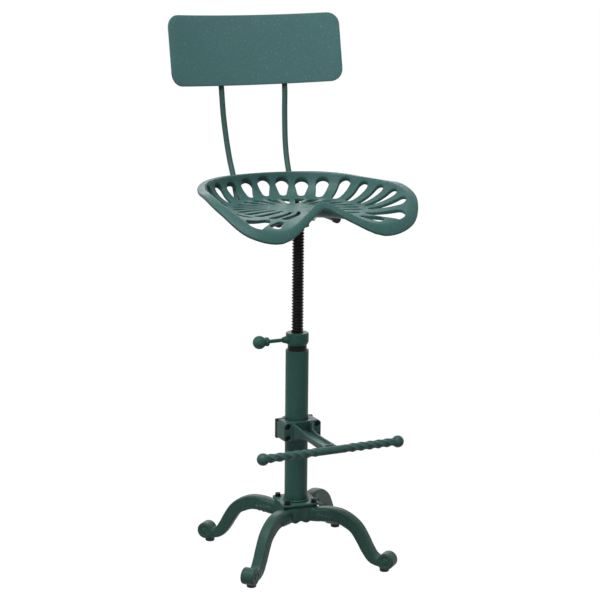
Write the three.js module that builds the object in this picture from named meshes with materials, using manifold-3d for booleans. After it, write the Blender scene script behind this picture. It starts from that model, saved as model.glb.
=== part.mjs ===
// Tractor seat stool: a pierced cast seat with a back panel on two rods, a turning height screw,
// a pipe column with a sliding footrest, and a four-legged cast base. Millimetres, +Z up, front is -Y.
import * as THREE from 'three';
import Module from 'manifold-3d';

const wasm = await Module();
wasm.setup();

// Driving sizes, all in millimetres unless the name says degrees, count or share.
const gap = 0.3; // between pieces that touch or are welded on the real stool
const overrun = 5; // how far a cutting shape runs past the face that it opens
const baseTurnDegrees = -6.3; // the base as photographed, against the seat and footrest

const column = { outerRadius: 24.3, innerRadius: 21.3, topHeight: 454, weldReach: 4 };
const plate = { width: 80, cornerRadius: 6, thickness: 5, topHeight: 126.5 };
const plateBolt = {
  place: 30, shankRadius: 4, headRadius: 5.7, headHeight: 5.2, washerRadius: 7.4,
  washerThickness: 1.4, length: 24, socketRadius: 2.9, socketDepth: 3,
};

const base = {
  hubWidth: 76, hubCorner: 12, hubBottom: 87, ribRadius: 6, ribCount: 2, ribPitch: 26,
  padCircle: 207, legHalfWidth: 14, legHalfThickness: 14.6,
  toeRadius: 17.6, toeHalfWidth: 14.5, toeReach: 7, toeRound: 3.5, padBossRadius: 11.5, grain: 0.15,
};
const pad = { radius: 10, height: 6.5, edge: 1.2, stemRadius: 3.6, stemHeight: 9 };

const bush = { neckRadius: 20, boreRadius: 13, neckHeight: 9, depth: 40 };
const collar = {
  radius: 24, height: 27.7, chamfer: 2.4, footInset: 4, footRise: 6,
  bossRadius: 8.5, bossTipRadius: 6, bossReach: 34,
};
const lockHandle = {
  rodRadius: 4, socketStart: 20, ballRadius: 14, ballReach: 87, ringRadius: 9.5,
  ringWidth: 7, ballSocketDepth: 12,
};

const screw = {
  crestRadius: 12.7, rootRadius: 9.9, endRadius: 9.2, pitch: 6.35, neckLength: 2.7, insertion: 73.7,
  spigotRadius: 9.6, studRadius: 8, studLength: 21, endRelief: 1,
};
const stopWasher = { radius: 15, thickness: 3 };
const stopBolt = {
  shankRadius: 4, headRadius: 6.5, headHeight: 5.3, depth: 16, socketRadius: 2.8, socketDepth: 2.65,
};

const hub = { radius: 22.5, length: 23.7, chamfer: 1.5 };
const carrier = { width: 156, depth: 64, cornerRadius: 8, thickness: 6.5 };
const seat = {
  floorHeight: 750.3, thickness: 4.5, halfWidth: 226, dishDepth: 52, centreBack: 22, bandThickness: 6,
  narrowBand: 8, cutAbove: 12, cutBelow: 18, drawShare: 0.7, grain: 0.3,
};
const seatBolt = {
  acrossPlace: 22.5, alongPlace: 22.5, shankRadius: 4, headRadius: 7.8, length: 21, headHeight: 3.6,
  rimHeight: 0.5, nutRadius: 7.5, nutHeight: 6.5, socketRadius: 2.5, socketDepth: 2,
};

const rod = { radius: 6, spread: 66, frontEnd: -46 };
const rodCap = { radius: 8.5, length: 12, wall: 2.2, edge: 1 };
const back = {
  width: 404, height: 149, cornerRadius: 27, thickness: 3, bendRadius: 700,
  tiltDegrees: 11.2, centreBack: 236.4, rise: 308.1, rodSpread: 74.2,
};
const backScrew = {
  shankRadius: 2.5, headRadius: 4.75, headHeight: 2.8, bossRadius: 7, bossHeight: 2.5,
  lowPlace: -46, highPlace: 18, holeDepth: 3.2, reach: 2.6, socketRadius: 1.6, socketDepth: 1.6,
};

const clamp = {
  halfWidth: 42.7, front: -30.8, back: 8, foot: 263.5, height: 41.5, corner: 5,
  flangeFront: 8.3, flangeBack: 16.6, bandThickness: 7.4,
  boltAcross: 34, boltRise: 12, boltHoleRadius: 3.3,
  counterboreRadius: 6, counterboreDepth: 8,
};
const clampBolt = {
  shankRadius: 3, headRadius: 5, headHeight: 6, length: 37.5, socketRadius: 2.5, socketDepth: 3,
};
const arm = {
  halfThickness: 2.75, webRise: 3.5, webDrop: 1, webStop: 14.5, wallStop: 12.5, wallThickness: 6,
};
const bar = {
  radius: 8.2, cornerRadius: 9.3, halfLength: 153.4, place: -164.5, rise: 16.5, ballRadius: 12.7,
  twistPitch: 80, plainHalfLength: 22,
};

// Rows of the arms, as shares: the way to the bar, the clamp's half width for the arm's middle,
// and the clamp's height for its lower and upper edges.
const armShares = [
  [0.146, 0.492, 0.06, 0.94], [0.219, 0.492, 0.084, 0.928], [0.2675, 0.375, 0.181, 0.831],
  [0.322, 0.29, 0.265, 0.711], [0.48, 0.281, 0.337, 0.602], [0.7295, 0.281, 0.2916, 0.5855],
  [0.9726, 0.281, 0.282, 0.581],
];

// Centre line of a rod behind its front end, as shares: its spread, the panel's place behind the
// column, and the rise from the rod's level to the panel's middle.
const rodShares = [
  [1, 0.0423, 0], [1, 0.2538, 0], [1, 0.431, 0], [1, 0.5203, 0.001], [1, 0.5943, 0.012],
  [1, 0.6557, 0.0378], [0.997, 0.698, 0.0746], [0.994, 0.73, 0.1145], [0.994, 0.784, 0.2097],
  [1.01, 0.8376, 0.29], [1.038, 0.8883, 0.4001], [1.091, 0.936, 0.5812],
];
// The rod's last points lie behind the panel, at these shares of its height from its middle.
const rodOnPanelShares = [-0.537, -0.33, -0.05, 0.236];

// Small shares of the size that each is used with.
const crownShare = 0.3; // how much of a screw's head is its crown
const hubRibSinkShare = 0.35; // how deep a hub rib's axis lies in the hub, against its radius
const weldWidthShare = 0.8; // the weld's width at half its height
const weldHeightShare = 0.5;
const ringSinkShare = 0.55; // how far the handle's ring stands in the ball
const barFlatShare = 0.88; // the twisted bar's flats against its round part
const rowStepShare = 0.02; // how far apart the rows stand that give the seat's slope
const foldStartShare = 1.85; // the row from which the narrow rim's underside runs straight

const degrees = Math.PI / 180;
const fullTurn = 2 * Math.PI;

// Shared materials, coloured from the photograph.
const paint = (colour, roughness = 0.55) =>
  new THREE.MeshStandardMaterial({ color: colour, roughness, metalness: 0.25 });
const green = () => paint(0x44695f);
const greenPanel = () => paint(0x476a6a, 0.6);
const blackSteel = () => new THREE.MeshStandardMaterial({ color: 0x161618, roughness: 0.4, metalness: 0.7 });
const zincSteel = () => new THREE.MeshStandardMaterial({ color: 0x8b8f92, roughness: 0.35, metalness: 0.9 });
const rubber = () => new THREE.MeshStandardMaterial({ color: 0x111112, roughness: 0.9, metalness: 0 });
const nylon = () => new THREE.MeshStandardMaterial({ color: 0xc9c6ba, roughness: 0.6, metalness: 0 });

// Conversions between three.js geometry and manifold-3d solids.
function toSolid(geometry) {
  const source = geometry.index ? geometry.toNonIndexed() : geometry;
  const position = source.getAttribute('position');
  const keyOf = new Map();
  const points = [];
  const triangles = [];
  const grain = base.padCircle * 1e-7;
  for (let i = 0; i < position.count; i += 1) {
    const point = [position.getX(i), position.getY(i), position.getZ(i)];
    const key = point.map((value) => Math.round(value / grain)).join(',');
    if (!keyOf.has(key)) {
      keyOf.set(key, points.length / 3);
      points.push(...point);
    }
    triangles.push(keyOf.get(key));
  }
  const kept = [];
  for (let i = 0; i < triangles.length; i += 3) {
    const [a, b, c] = triangles.slice(i, i + 3);
    if (a !== b && b !== c && c !== a) kept.push(a, b, c);
  }
  const corner = (index) => new THREE.Vector3(...points.slice(3 * index, 3 * index + 3));
  let volume = 0;
  for (let i = 0; i < kept.length; i += 3) {
    volume += corner(kept[i]).dot(corner(kept[i + 1]).cross(corner(kept[i + 2])));
  }
  return new wasm.Manifold(new wasm.Mesh({
    numProp: 3,
    vertProperties: new Float32Array(points),
    triVerts: new Uint32Array(volume < 0 ? kept.reverse() : kept),
  }));
}

function toGeometry(solid) {
  const mesh = solid.getMesh();
  const geometry = new THREE.BufferGeometry();
  geometry.setAttribute('position', new THREE.BufferAttribute(mesh.vertProperties, 3));
  geometry.setIndex(new THREE.BufferAttribute(mesh.triVerts, 1));
  const flat = geometry.toNonIndexed();
  flat.computeVertexNormals();
  return flat;
}

const join = (...geometries) => toGeometry(geometries.map(toSolid).reduce((a, b) => a.add(b)));
const cut = (geometry, ...tools) =>
  toGeometry(tools.map(toSolid).reduce((a, b) => a.subtract(b), toSolid(geometry)));

// Geometry helpers. Each lathe profile is a closed list of [radius, height] turned about +Z.
function turned(profile, segments = 32) {
  const points = profile.map(([radius, height]) => new THREE.Vector2(radius, height));
  if (profile[0][0] > 0) points.push(points[0].clone());
  return new THREE.LatheGeometry(points, segments).rotateX(Math.PI / 2);
}

function rod3(radius, from, to, segments = 16) {
  return turned([[0, from], [radius, from], [radius, to], [0, to]], segments);
}

function ring(innerRadius, outerRadius, from, to, segments = 32) {
  const profile = [[innerRadius, from], [outerRadius, from], [outerRadius, to], [innerRadius, to]];
  return turned(profile, segments);
}

function slab(width, depth, from, to, centreX = 0, centreY = 0) {
  const geometry = new THREE.BoxGeometry(width, depth, to - from);
  return geometry.translate(centreX, centreY, (from + to) / 2);
}

function raised(shape, from, to, curveSegments = 8) {
  const options = { depth: to - from, bevelEnabled: false, curveSegments };
  return new THREE.ExtrudeGeometry(shape, options).translate(0, 0, from);
}

function roundedRectangle(width, depth, radius) {
  const shape = new THREE.Shape();
  const x = width / 2;
  const y = depth / 2;
  const quarters = [[x, y, 0], [-x, y, 1], [-x, -y, 2], [x, -y, 3]];
  for (const [cornerX, cornerY, quarter] of quarters) {
    const centreX = cornerX - Math.sign(cornerX) * radius;
    const centreY = cornerY - Math.sign(cornerY) * radius;
    const start = quarter * Math.PI / 2;
    shape.absarc(centreX, centreY, radius, start, start + Math.PI / 2, false);
  }
  return shape;
}

// A screw or bolt with a hexagon socket, its head above z = 0 and its shank below.
function socketScrew({ headRadius, headHeight, shankRadius, length, socketRadius, socketDepth }) {
  const crown = headHeight * crownShare;
  const body = turned([
    [0, -length], [shankRadius, -length], [shankRadius, 0], [headRadius, 0],
    [headRadius, headHeight - crown], [headRadius - crown, headHeight], [0, headHeight],
  ], 12);
  const socket = rod3(socketRadius, headHeight - socketDepth, headHeight + overrun, 6);
  return cut(body, socket);
}

function hexagonNut(radius, boreRadius, from, to) {
  return cut(rod3(radius, from, to, 6), rod3(boreRadius, from - overrun, to + overrun, 12));
}

// A closed skin over rings of points, each ring with the same number of points.
function skin(rings, capped = true) {
  const positions = [];
  const put = (...points) => points.forEach((point) => positions.push(...point));
  const count = rings[0].length;
  const middle = (points) =>
    [0, 1, 2].map((axis) => points.reduce((sum, point) => sum + point[axis], 0) / points.length);
  for (let i = 0; i + 1 < rings.length; i += 1) {
    for (let j = 0; j < count; j += 1) {
      const k = (j + 1) % count;
      put(rings[i][j], rings[i][k], rings[i + 1][k]);
      put(rings[i][j], rings[i + 1][k], rings[i + 1][j]);
    }
  }
  if (capped) {
    const last = rings[rings.length - 1];
    for (let j = 0; j < count; j += 1) {
      const k = (j + 1) % count;
      put(rings[0][k], rings[0][j], middle(rings[0]));
      put(last[j], last[k], middle(last));
    }
  }
  const geometry = new THREE.BufferGeometry();
  geometry.setAttribute('position', new THREE.Float32BufferAttribute(positions, 3));
  geometry.computeVertexNormals();
  return geometry;
}

const stool = new THREE.Group();
function place(parent, name, geometry, material) {
  const mesh = new THREE.Mesh(geometry, material);
  mesh.name = name;
  parent.add(mesh);
  return mesh;
}

const smooth = (x) => {
  const share = Math.min(1, Math.max(0, x));
  return share * share * (3 - 2 * share);
};

// A value read from an evenly spaced list of shares over 0 to 180 degrees, mirrored left and right.
function aroundSeat(shares, angleDegrees) {
  const wrapped = Math.abs(((angleDegrees + 540) % 360) - 180);
  const position = wrapped / 180 * (shares.length - 1);
  const low = Math.min(Math.floor(position), shares.length - 2);
  const at = (index) => shares[Math.abs(index) >= shares.length
    ? 2 * (shares.length - 1) - index : Math.abs(index)];
  const [p0, p1, p2, p3] = [at(low - 1), at(low), at(low + 1), at(low + 2)];
  const t = position - low;
  return p1 + 0.5 * t * (p2 - p0 + t * (2 * p0 - 5 * p1 + 4 * p2 - p3
    + t * (3 * (p1 - p2) + p3 - p0)));
}

// Base: hub, four legs with scrolled toes, pads, plate, bolts and column, all turned as one.
const hubTop = plate.topHeight - plate.thickness - gap;
const standing = new THREE.Group();
standing.rotation.z = baseTurnDegrees * degrees;
stool.add(standing);

// Leg centre line: shares of the pad circle's radius and of the hub's top, and a thickness share.
const legShares = [
  [0.1, 0.82, 1.05], [0.25, 0.835, 1.05], [0.38, 0.87, 1.05], [0.5, 0.862, 1.04],
  [0.592, 0.804, 1.03], [0.684, 0.701, 0.95], [0.76, 0.518, 0.92], [0.817, 0.35, 0.87],
  [0.88, 0.215, 0.81], [0.96, 0.165, 0.7], [1.03, 0.16, 0.55],
];
const toeCentre = base.padCircle + base.toeReach;
const toeHeight = pad.height + gap + base.toeRadius;

function legBody() {
  const curve = new THREE.CatmullRomCurve3(legShares.map(([out, up]) =>
    new THREE.Vector3(out * base.padCircle, 0, up * hubTop)));
  const stations = 16;
  const rings = [];
  for (let i = 0; i <= stations; i += 1) {
    const share = i / stations;
    const centre = curve.getPoint(share);
    const along = curve.getTangent(share);
    const spot = share * (legShares.length - 1);
    const low = Math.min(Math.floor(spot), legShares.length - 2);
    const thick = THREE.MathUtils.lerp(legShares[low][2], legShares[low + 1][2], spot - low);
    const points = [];
    const sides = 10;
    for (let j = 0; j < sides; j += 1) {
      const angle = (j + 0.5) / sides * fullTurn;
      const squared = (value) => Math.sign(value) * Math.abs(value) ** 0.75;
      const across = squared(Math.cos(angle)) * base.legHalfWidth;
      const upward = squared(Math.sin(angle)) * base.legHalfThickness * thick;
      points.push([
        centre.x - along.z * upward, across, centre.z + along.x * upward,
      ]);
    }
    rings.push(points);
  }
  return skin(rings);
}

function legToe() {
  const { toeRadius: r, toeHalfWidth: w, toeRound: e } = base;
  const drum = turned([[0, -w], [r - e, -w], [r, e - w], [r, w - e], [r - e, w], [0, w]], 18);
  const toe = drum.rotateX(Math.PI / 2).translate(toeCentre, 0, toeHeight);
  const boss = rod3(base.padBossRadius, pad.height + gap, toeHeight, 20);
  return join(toe, boss.translate(base.padCircle, 0, 0));
}

function baseCasting() {
  const body = raised(roundedRectangle(base.hubWidth, base.hubWidth, base.hubCorner),
    base.hubBottom, hubTop, 5);
  let solid = toSolid(body);
  const face = base.hubWidth / 2;
  for (let quarter = 0; quarter < 4; quarter += 1) {
    const turn = quarter * Math.PI / 2;
    for (let i = 0; i < base.ribCount; i += 1) {
      const offset = (i - (base.ribCount - 1) / 2) * base.ribPitch;
      const length = hubTop - base.hubBottom;
      const rib = new THREE.SphereGeometry(base.ribRadius, 8, 6).rotateX(Math.PI / 2)
        .scale(1, 1, length / 2 / base.ribRadius)
        .translate(face - base.ribRadius * hubRibSinkShare, offset, base.hubBottom + length / 2 - gap);
      solid = solid.add(toSolid(rib.rotateZ(turn)));
    }
    const diagonal = turn + Math.PI / 4;
    solid = solid.add(toSolid(legBody().rotateZ(diagonal)));
    solid = solid.add(toSolid(legToe().rotateZ(diagonal)));
    const padHole = rod3(pad.stemRadius + gap, 0, pad.height + pad.stemHeight + gap, 16);
    solid = solid.subtract(toSolid(padHole.translate(base.padCircle, 0, 0).rotateZ(diagonal)));
  }
  for (const [x, y] of plateCorners) {
    const hole = rod3(plateBolt.shankRadius + gap, boltFoot - gap, hubTop + overrun, 12);
    solid = solid.subtract(toSolid(hole.translate(x, y, 0)));
  }
  const trim = slab(base.padCircle, base.padCircle, hubTop, hubTop + base.toeRadius);
  return toGeometry(solid.subtract(toSolid(trim)).simplify(base.grain));
}

const plateCorners = [[-1, -1], [1, -1], [1, 1], [-1, 1]]
  .map(([x, y]) => [x * plateBolt.place, y * plateBolt.place]);
const boltSeat = plate.topHeight + gap + plateBolt.washerThickness + gap;
const boltFoot = boltSeat - plateBolt.length;

place(standing, 'base_casting', baseCasting(), green());

for (let i = 0; i < 4; i += 1) {
  const angle = (i + 0.5) * Math.PI / 2;
  const body = turned([
    [0, 0], [pad.radius - pad.edge, 0], [pad.radius, pad.edge], [pad.radius, pad.height],
    [pad.stemRadius, pad.height], [pad.stemRadius, pad.height + pad.stemHeight],
    [0, pad.height + pad.stemHeight],
  ], 14);
  body.translate(base.padCircle, 0, 0).rotateZ(angle);
  place(standing, `foot_pad_${i + 1}`, body, rubber());
}

const plateHoles = plateCorners.map(([x, y]) => rod3(plateBolt.shankRadius + gap,
  plate.topHeight - plate.thickness - overrun, plate.topHeight + overrun, 12).translate(x, y, 0));
const plateBody = raised(roundedRectangle(plate.width, plate.width, plate.cornerRadius),
  plate.topHeight - plate.thickness, plate.topHeight, 5);
place(standing, 'column_base_plate', cut(plateBody, ...plateHoles), green());

plateCorners.forEach(([x, y], i) => {
  const washer = ring(plateBolt.shankRadius + gap, plateBolt.washerRadius,
    plate.topHeight + gap, boltSeat - gap, 16);
  place(standing, `plate_washer_${i + 1}`, washer.translate(x, y, 0), blackSteel());
  const bolt = socketScrew(plateBolt).translate(x, y, boltSeat);
  place(standing, `plate_bolt_${i + 1}`, bolt, blackSteel());
});

const columnFoot = plate.topHeight + gap;
const { outerRadius: pipe, innerRadius: pipeBore, weldReach: weld } = column;
place(standing, 'column_tube', turned([
  [pipeBore, columnFoot], [pipe + weld, columnFoot],
  [pipe + weld * weldWidthShare, columnFoot + weld * weldHeightShare],
  [pipe, columnFoot + weld], [pipe, column.topHeight], [pipeBore, column.topHeight],
], 32), green());

const bushFoot = column.topHeight - bush.depth;
const neckTop = column.topHeight + bush.neckHeight;

// The neck's lower part fills the pipe's bore and its shoulder shows above the pipe's rim.
place(standing, 'thread_bush', turned([
  [bush.boreRadius, bushFoot], [pipeBore - gap, bushFoot],
  [pipeBore - gap, column.topHeight], [bush.neckRadius, column.topHeight + gap],
  [bush.neckRadius, neckTop], [bush.boreRadius, neckTop],
], 32), blackSteel());

// Lock collar with its boss, rod and ball, pointing to the stool's left.
const collarFoot = neckTop + gap;
const collarTop = collarFoot + collar.height;
const handleHeight = (collarFoot + collarTop) / 2;
const ringStart = lockHandle.ballReach - lockHandle.ballRadius - lockHandle.ringWidth * ringSinkShare;

function toLeft(geometry) {
  return geometry.rotateY(-Math.PI / 2).translate(0, 0, handleHeight);
}

function lockCollar() {
  const { radius, chamfer } = collar;
  const sleeve = turned([
    [0, collarFoot], [radius - collar.footInset, collarFoot], [radius, collarFoot + collar.footRise],
    [radius, collarTop - chamfer], [radius - chamfer, collarTop], [0, collarTop],
  ], 32);
  const boss = toLeft(turned([
    [0, 0], [collar.bossRadius, 0], [collar.bossRadius, radius],
    [collar.bossTipRadius, collar.bossReach], [0, collar.bossReach],
  ], 18));
  const bore = rod3(bush.boreRadius, collarFoot - overrun, collarTop + overrun, 28);
  const handleHole = toLeft(rod3(lockHandle.rodRadius + gap, lockHandle.socketStart - gap,
    collar.bossReach + overrun, 16));
  return cut(join(sleeve, boss), bore, handleHole);
}

const locking = new THREE.Group();
stool.add(locking);
place(locking, 'lock_collar', lockCollar(), green());
const rodEnd = lockHandle.ballReach - lockHandle.ballRadius + lockHandle.ballSocketDepth;
place(locking, 'lock_handle_rod', toLeft(rod3(lockHandle.rodRadius, lockHandle.socketStart,
  rodEnd - gap, 14)), green());
const ball = new THREE.SphereGeometry(lockHandle.ballRadius, 16, 8).rotateX(Math.PI / 2)
  .translate(0, 0, lockHandle.ballReach);
const ballRing = rod3(lockHandle.ringRadius, ringStart, ringStart + lockHandle.ringWidth, 20);
const ballSocket = rod3(lockHandle.rodRadius + gap, ringStart - overrun, rodEnd, 14);
place(locking, 'lock_handle_ball', toLeft(cut(join(ball, ballRing), ballSocket)), green());

// Levels under the seat, from the pan's underside down to the screw's foot.
const carrierTop = seat.floorHeight - seat.thickness - gap;
const carrierBottom = carrierTop - carrier.thickness;
const hubFace = carrierBottom - gap;
const hubBottom = hubFace - hub.length;
const spigotTop = hubFace - gap;
const threadTop = hubBottom - screw.neckLength;
const threadBottom = column.topHeight - screw.insertion;
const rodHeight = carrierBottom - gap - rod.radius;
const backHeight = seat.floorHeight + back.rise;

// Height screw: a true helix of crest and root points between plain ends.
function heightScrew() {
  const columns = 10;
  const { pitch, crestRadius, rootRadius, endRelief } = screw;
  const rows = 2 * Math.floor((threadTop - threadBottom - 2 * endRelief) / pitch) - 2;
  const start = threadBottom + endRelief;
  const spot = (radius, angle, height) =>
    [radius * Math.cos(angle), radius * Math.sin(angle), height];
  const thread = (i, j) => {
    const lap = i === columns ? 2 : 0;
    const angle = (i % columns) / columns * fullTurn;
    const row = j + lap;
    const radius = row % 2 ? crestRadius : rootRadius;
    return spot(radius, angle, start + (row / 2 + (i % columns) / columns) * pitch);
  };
  const circle = (i, radius, height) => spot(radius, (i % columns) / columns * fullTurn, height);
  const positions = [];
  const put = (...points) => points.forEach((point) => positions.push(...point));
  const quad = (a, b, c, d) => put(a, b, c, a, c, d);
  const top = start + (rows / 2 + 1) * pitch + endRelief;
  const below = [
    [screw.studRadius, threadBottom - screw.studLength],
    [screw.studRadius, threadBottom], [screw.endRadius, threadBottom],
  ];
  const above = [
    [screw.endRadius, top], [screw.spigotRadius, top], [screw.spigotRadius, spigotTop],
  ];
  for (let i = 0; i < columns; i += 1) {
    const foot = spot(0, 0, below[0][1]);
    put(foot, circle(i + 1, ...below[0]), circle(i, ...below[0]));
    const head = spot(0, 0, spigotTop);
    put(head, circle(i, ...above[2]), circle(i + 1, ...above[2]));
    for (const list of [below, above]) {
      for (let k = 0; k + 1 < list.length; k += 1) {
        quad(circle(i, ...list[k]), circle(i + 1, ...list[k]),
          circle(i + 1, ...list[k + 1]), circle(i, ...list[k + 1]));
      }
    }
    quad(circle(i, ...below[2]), circle(i + 1, ...below[2]), thread(i + 1, 0), thread(i, 0));
    for (let j = 0; j < rows; j += 1) {
      quad(thread(i, j), thread(i + 1, j), thread(i + 1, j + 1), thread(i, j + 1));
    }
    quad(thread(i, rows), thread(i + 1, rows), circle(i + 1, ...above[0]), circle(i, ...above[0]));
  }
  const footSeam = circle(0, ...below[2]);
  const headSeam = circle(0, ...above[0]);
  put(thread(0, 0), thread(0, 1), thread(0, 2));
  put(footSeam, thread(0, 0), thread(0, 2));
  put(thread(0, rows + 2), thread(0, rows + 1), thread(0, rows));
  put(headSeam, thread(0, rows + 2), thread(0, rows));
  const geometry = new THREE.BufferGeometry();
  geometry.setAttribute('position', new THREE.Float32BufferAttribute(positions, 3));
  return toSolid(geometry);
}

// Seat surface. Angles are measured about the slot centre from the back, towards +X. Each list of
// shares runs from the back (0 degrees) to the front (180 degrees) in equal steps.
const rimRadiusShares = [
  0.7, 0.707, 0.743, 0.79, 0.841, 0.889, 0.947, 1.031, 1.128, 1.137, 0.985, 0.752, 0.628];
const rimHeightShares = [
  1, 1, 1, 1, 0.965, 0.9, 0.885, 0.865, 0.46, -0.35, -0.64, -0.06, 0.38];
const crestHeightShares = [
  0.985, 0.985, 0.985, 0.985, 0.965, 0.925, 0.92, 0.885, 0.6, 0, -0.2, 0.3, 0.66];
const crestInsetShares = [
  0.022, 0.022, 0.03, 0.042, 0.055, 0.07, 0.085, 0.095, 0.1, 0.1, 0.1, 0.08, 0.07];
const wallStartShares = [
  0.52, 0.52, 0.52, 0.52, 0.53, 0.54, 0.54, 0.54, 0.52, 0.5, 0.45, 0.4, 0.36];
const wallSteepnessShares = [
  0.95, 0.95, 0.93, 0.9, 0.85, 0.75, 0.68, 0.62, 0.5, 0.4, 0.35, 0.45, 0.5];

// A point of the seat's top: row 0 is the centre, 1 where the wall starts, 2 the crest, 3 the rim.
function seatTop(angleDegrees, row) {
  const read = (shares) => aroundSeat(shares, angleDegrees);
  const rim = read(rimRadiusShares) * seat.halfWidth;
  const crest = rim - read(crestInsetShares) * seat.halfWidth;
  const wall = read(wallStartShares) * seat.halfWidth;
  const steep = read(wallSteepnessShares) * Math.PI / 2;
  const crestHeight = seat.floorHeight + read(crestHeightShares) * seat.dishDepth;
  const rimHeight = seat.floorHeight + read(rimHeightShares) * seat.dishDepth;
  let radius = row * wall;
  let height = seat.floorHeight;
  if (row > 2) {
    radius = crest + (rim - crest) * (row - 2);
    height = crestHeight + (rimHeight - crestHeight) * (row - 2) ** 1.6;
  } else if (row > 1) {
    const turn = (row - 1) * steep;
    const rise = (1 - Math.cos(turn)) / (1 - Math.cos(steep));
    radius = wall + (crest - wall) * Math.sin(turn) / Math.sin(steep);
    height += (crestHeight - seat.floorHeight) * rise;
  }
  const angle = angleDegrees * degrees;
  return new THREE.Vector3(
    radius * Math.sin(angle), seat.centreBack + radius * Math.cos(angle), height);
}

function seatNormal(angleDegrees, row) {
  const across = seatTop(angleDegrees + 1, row).sub(seatTop(angleDegrees - 1, row));
  const step = rowStepShare;
  const inner = seatTop(angleDegrees, Math.max(step, row - step));
  const outward = seatTop(angleDegrees, Math.min(3, row + step)).sub(inner);
  const normal = outward.cross(across).normalize();
  return normal.z < 0 ? normal.negate() : normal;
}

// The underside follows the top at one thickness; where the rim band is narrow it runs straight.
function seatUnder(angleDegrees, row) {
  const under = (at) => {
    const depth = at > 2 ? seat.bandThickness : seat.thickness;
    return seatTop(angleDegrees, at).sub(seatNormal(angleDegrees, at).multiplyScalar(depth));
  };
  if (row <= foldStartShare || row >= 3) return under(row);
  const band = aroundSeat(crestInsetShares, angleDegrees) * seat.halfWidth;
  const share = smooth((band - seat.narrowBand) / seat.narrowBand);
  const beyond = (row - foldStartShare) / (3 - foldStartShare);
  const straight = under(foldStartShare).lerp(under(3), beyond);
  return straight.lerp(under(row), share);
}

const seatRows = [0.5, 1, 1.3, 1.52, 1.7, 1.85, 2, 2.45, 3];
const seatColumns = 54;

function seatShell() {
  const ring = (read, row) => Array.from({ length: seatColumns },
    (_, i) => read(i / seatColumns * 360, row).toArray());
  const top = seatRows.map((row) => ring(seatTop, row));
  const under = [...seatRows].reverse().map((row) => ring(seatUnder, row));
  return skin([...top, ...under]);
}

// Row of the seat's top at a given radius about the slot centre.
function rowAt(angleDegrees, radius) {
  let low = 0;
  let high = 3;
  for (let i = 0; i < 30; i += 1) {
    const middle = (low + high) / 2;
    const point = seatTop(angleDegrees, middle);
    if (Math.hypot(point.x, point.y - seat.centreBack) < radius) low = middle;
    else high = middle;
  }
  return low;
}

const upright = new THREE.Vector3(0, 0, 1);

// A cutter for one slot. It follows the seat's top between two places, each given as degrees about
// the slot centre, a radius and a half width, with round ends, and is cut square to the surface.
function slotCutter(from, to, steps = 3) {
  const samples = Array.from({ length: 41 }, (_, i) => {
    const angle = THREE.MathUtils.lerp(from.angle, to.angle, i / 40);
    const row = rowAt(angle, THREE.MathUtils.lerp(from.radius, to.radius, i / 40));
    return { point: seatTop(angle, row), normal: seatNormal(angle, row), travel: 0 };
  });
  samples.forEach((sample, i) => {
    if (i) sample.travel = samples[i - 1].travel + sample.point.distanceTo(samples[i - 1].point);
  });
  const total = samples[samples.length - 1].travel;
  const at = (travel) => {
    let i = 1;
    while (i < samples.length - 1 && samples[i].travel < travel) i += 1;
    const span = samples[i].travel - samples[i - 1].travel;
    const share = (travel - samples[i - 1].travel) / span;
    return {
      point: samples[i - 1].point.clone().lerp(samples[i].point, share),
      normal: samples[i - 1].normal.clone().lerp(samples[i].normal, share).normalize(),
      along: samples[i].point.clone().sub(samples[i - 1].point).normalize(),
    };
  };
  const [startWidth, endWidth] = [from.halfWidth, to.halfWidth];
  const stations = [];
  for (let i = 0; i <= steps; i += 1) {
    const turn = i / steps * Math.PI / 2;
    stations.push([startWidth * (1 - Math.cos(turn)), startWidth * Math.sin(turn)]);
  }
  for (let i = 1; i < steps; i += 1) {
    const share = i / steps;
    stations.push([startWidth + (total - startWidth - endWidth) * share,
      startWidth + (endWidth - startWidth) * share]);
  }
  for (let i = steps; i >= 0; i -= 1) {
    const turn = i / steps * Math.PI / 2;
    stations.push([total - endWidth * (1 - Math.cos(turn)), endWidth * Math.sin(turn)]);
  }
  const rings = stations.map(([travel, width]) => {
    const { point, normal, along } = at(travel);
    const side = normal.clone().cross(along).normalize().multiplyScalar(noneIfTiny(width));
    const draw = normal.clone().lerp(upright, seat.drawShare).normalize();
    const up = draw.clone().multiplyScalar(seat.cutAbove);
    const down = draw.clone().multiplyScalar(-seat.cutBelow);
    return [
      point.clone().add(side).add(up), point.clone().sub(side).add(up),
      point.clone().sub(side).add(down), point.clone().add(side).add(down),
    ].map((corner) => corner.toArray());
  });
  return skin(rings, false);
}

// A width below the merging grain counts as none, so that a round end closes on itself.
const noneIfTiny = (width) => (width < base.padCircle * 1e-6 ? 0 : width);

// Slots 0 to 10 from the back to the front: degrees about the slot centre, then radii and half
// widths as shares of the seat's half width.
const outerStartDegrees = [0, 16, 32, 48, 63, 78.5, 94, 107.5, 121, 135, 145.5];
const outerStartShares = [
  0.589, 0.591, 0.597, 0.602, 0.611, 0.615, 0.633, 0.659, 0.681, 0.69, 0.69];
const outerStartWidthShares = [
  0.037, 0.037, 0.037, 0.039, 0.042, 0.044, 0.043, 0.041, 0.038, 0.033, 0.027];
const outerEndDegrees = [0, 15.8, 31.7, 47.5, 64.5, 80.5, 96, 109.5, 121.5, 135, 143];
const outerEndShares = [
  0.676, 0.682, 0.708, 0.745, 0.79, 0.819, 0.867, 0.945, 1.03, 1.053, 0.903];
const outerEndWidthShares = [
  0.066, 0.066, 0.066, 0.064, 0.062, 0.06, 0.058, 0.058, 0.066, 0.1, 0.05];
const innerEndShares = [
  0.535, 0.54, 0.544, 0.549, 0.558, 0.566, 0.584, 0.606, 0.619, 0.628, 0.611];
const innerEndWidthShares = [
  0.046, 0.046, 0.046, 0.046, 0.046, 0.044, 0.042, 0.04, 0.038, 0.036, 0.036];
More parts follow.
